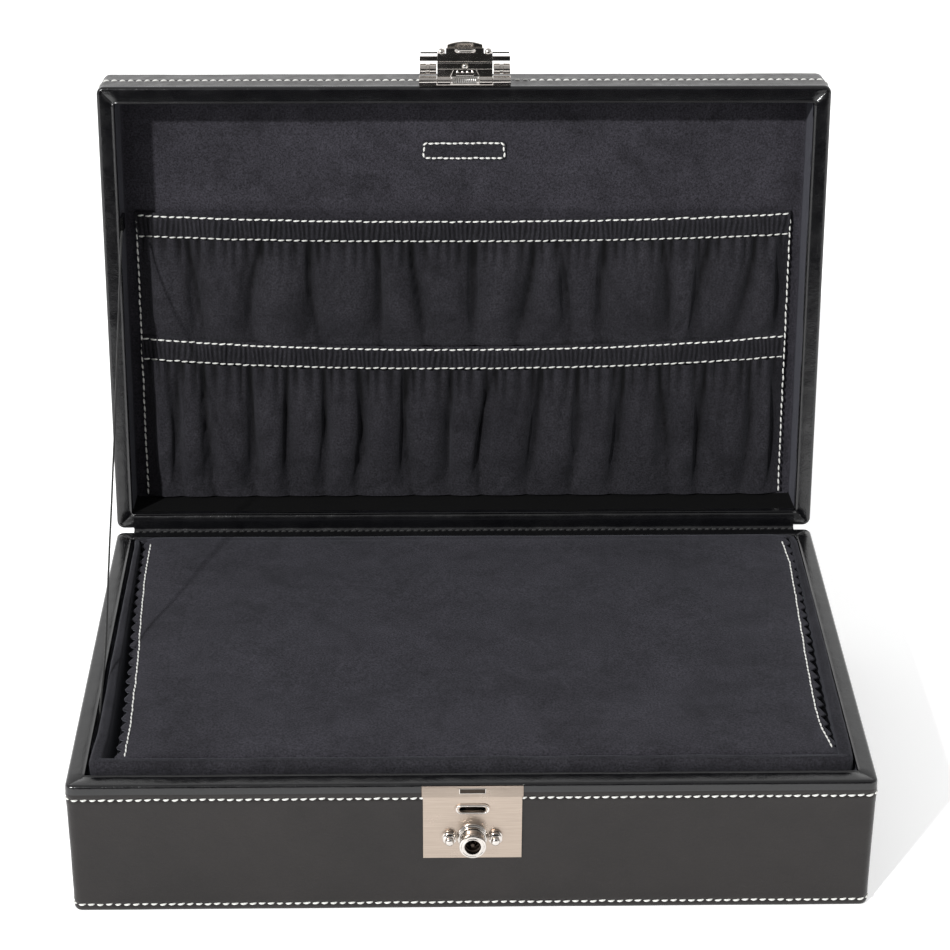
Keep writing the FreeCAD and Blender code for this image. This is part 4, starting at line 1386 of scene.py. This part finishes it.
def finish_node(node, material, bevel=0.0):
    """Gives a carried-over CAD node its material, and eases its edges."""
    obj = frame["nodes"][node]
    for index in range(len(obj.material_slots)):
        obj.material_slots[index].material = material
    if bevel:
        edge = obj.modifiers.new("edge", "BEVEL")
        edge.width = bevel * MM
        edge.segments = 2
        edge.limit_method = "ANGLE"
        edge.angle_limit = math.radians(35)
        even_shading(obj)


finish_node("lock_plate", BRUSHED, 0.14)
for node in ("latch_plate", "latch_rivets", "hasp_pin", "latch_bolt", "lock_case"):
    finish_node(node, POLISHED, 0.1)
finish_node("bolt_spring", STEEL)
sides = ("front", "back", "left", "right")
boards = [f"base_{side}_board" for side in ("bottom", *sides)]
boards += [f"lid_{side}_board" for side in ("top", *sides)]
for node in (*boards, "tray_bottom_board"):
    finish_node(node, BOARD)
for node in ("cord_lid_tab", "cord_base_tab"):
    finish_node(node, RIM, 0.2)


# ---------------------------------------------------------------- floor, light and camera

def studio():
    """A white floor, black cards for the metal to reflect, a graded sky, one sun and the camera."""
    paint = Shader("floor", Roughness=0.6, Emission_Color=(1, 1, 1, 1), Emission_Strength=0.4)
    tone = paint.noise(3.0, 2, 0.5)
    paint.set("Base Color", paint.ramp(tone, [(0.3, (0.88, 0.88, 0.88)), (0.7, (0.9, 0.9, 0.9))]))
    floor = add_object("floor", *square(5.0, 0, [paint.material]))
    floor.location.z = -0.0004

    cloth = Shader("black flag", Roughness=0.9)
    cloth.set("Base Color", cloth.ramp(cloth.noise(40, 2, 0.5), [(0.3, 0.004), (0.7, 0.006)]))
    low = 0.002
    for number, (near, far, high) in enumerate(((-0.45, -1.5, low), (-1.5, -1.51, 0.8))):
        corners = [(-0.8, near, low), (0.8, near, low), (0.8, far, high), (-0.8, far, high)]
        flag = add_object(f"black_flag_{number + 1}", corners, [(0, 1, 2, 3)], [cloth.material])
        flag.visible_camera = False
        flag.visible_diffuse = False
        flag.visible_shadow = False

    world = bpy.data.worlds.new("studio")
    bpy.context.scene.world = world
    world.use_nodes = True
    nodes = world.node_tree.nodes
    links = world.node_tree.links
    nodes["Background"].inputs["Color"].default_value = (1, 1, 1, 1)
    direction = nodes.new("ShaderNodeTexCoord")
    parts = nodes.new("ShaderNodeSeparateXYZ")
    links.new(direction.outputs["Generated"], parts.inputs["Vector"])
    backdrop = nodes.new("ShaderNodeMapRange")
    for socket, value in (("From Min", -0.35), ("From Max", 0.6), ("To Min", 0.42), ("To Max", 1.15)):
        backdrop.inputs[socket].default_value = value
    links.new(parts.outputs["Y"], backdrop.inputs["Value"])
    links.new(backdrop.outputs["Result"], nodes["Background"].inputs["Strength"])

    light = bpy.data.lights.new("key", "SUN")
    light.energy = 4.0
    light.angle = math.radians(2.5)
    key = bpy.data.objects.new("key", light)
    shining = Vector((0.479, 0.702, -0.536))
    key.rotation_euler = shining.to_track_quat("-Z", "Y").to_euler()
    bpy.context.scene.collection.objects.link(key)

    lens = bpy.data.cameras.new("camera")
    lens.lens = 99.042
    lens.sensor_width = 36
    camera = bpy.data.objects.new("camera", lens)
    yaw, pitch, roll = math.radians(1.236), math.radians(27.772), math.radians(0.308)
    turn = (Matrix.Rotation(-yaw, 4, "Z") @ Matrix.Rotation(math.pi / 2 - pitch, 4, "X")
            @ Matrix.Rotation(roll, 4, "Z"))
    eye = (-0.015823, -0.834375, 0.564939)
    camera.matrix_world = Matrix.Translation(eye) @ turn
    bpy.context.scene.collection.objects.link(camera)
    bpy.context.scene.camera = camera
    bpy.context.scene.view_settings.view_transform = "Standard"


studio()
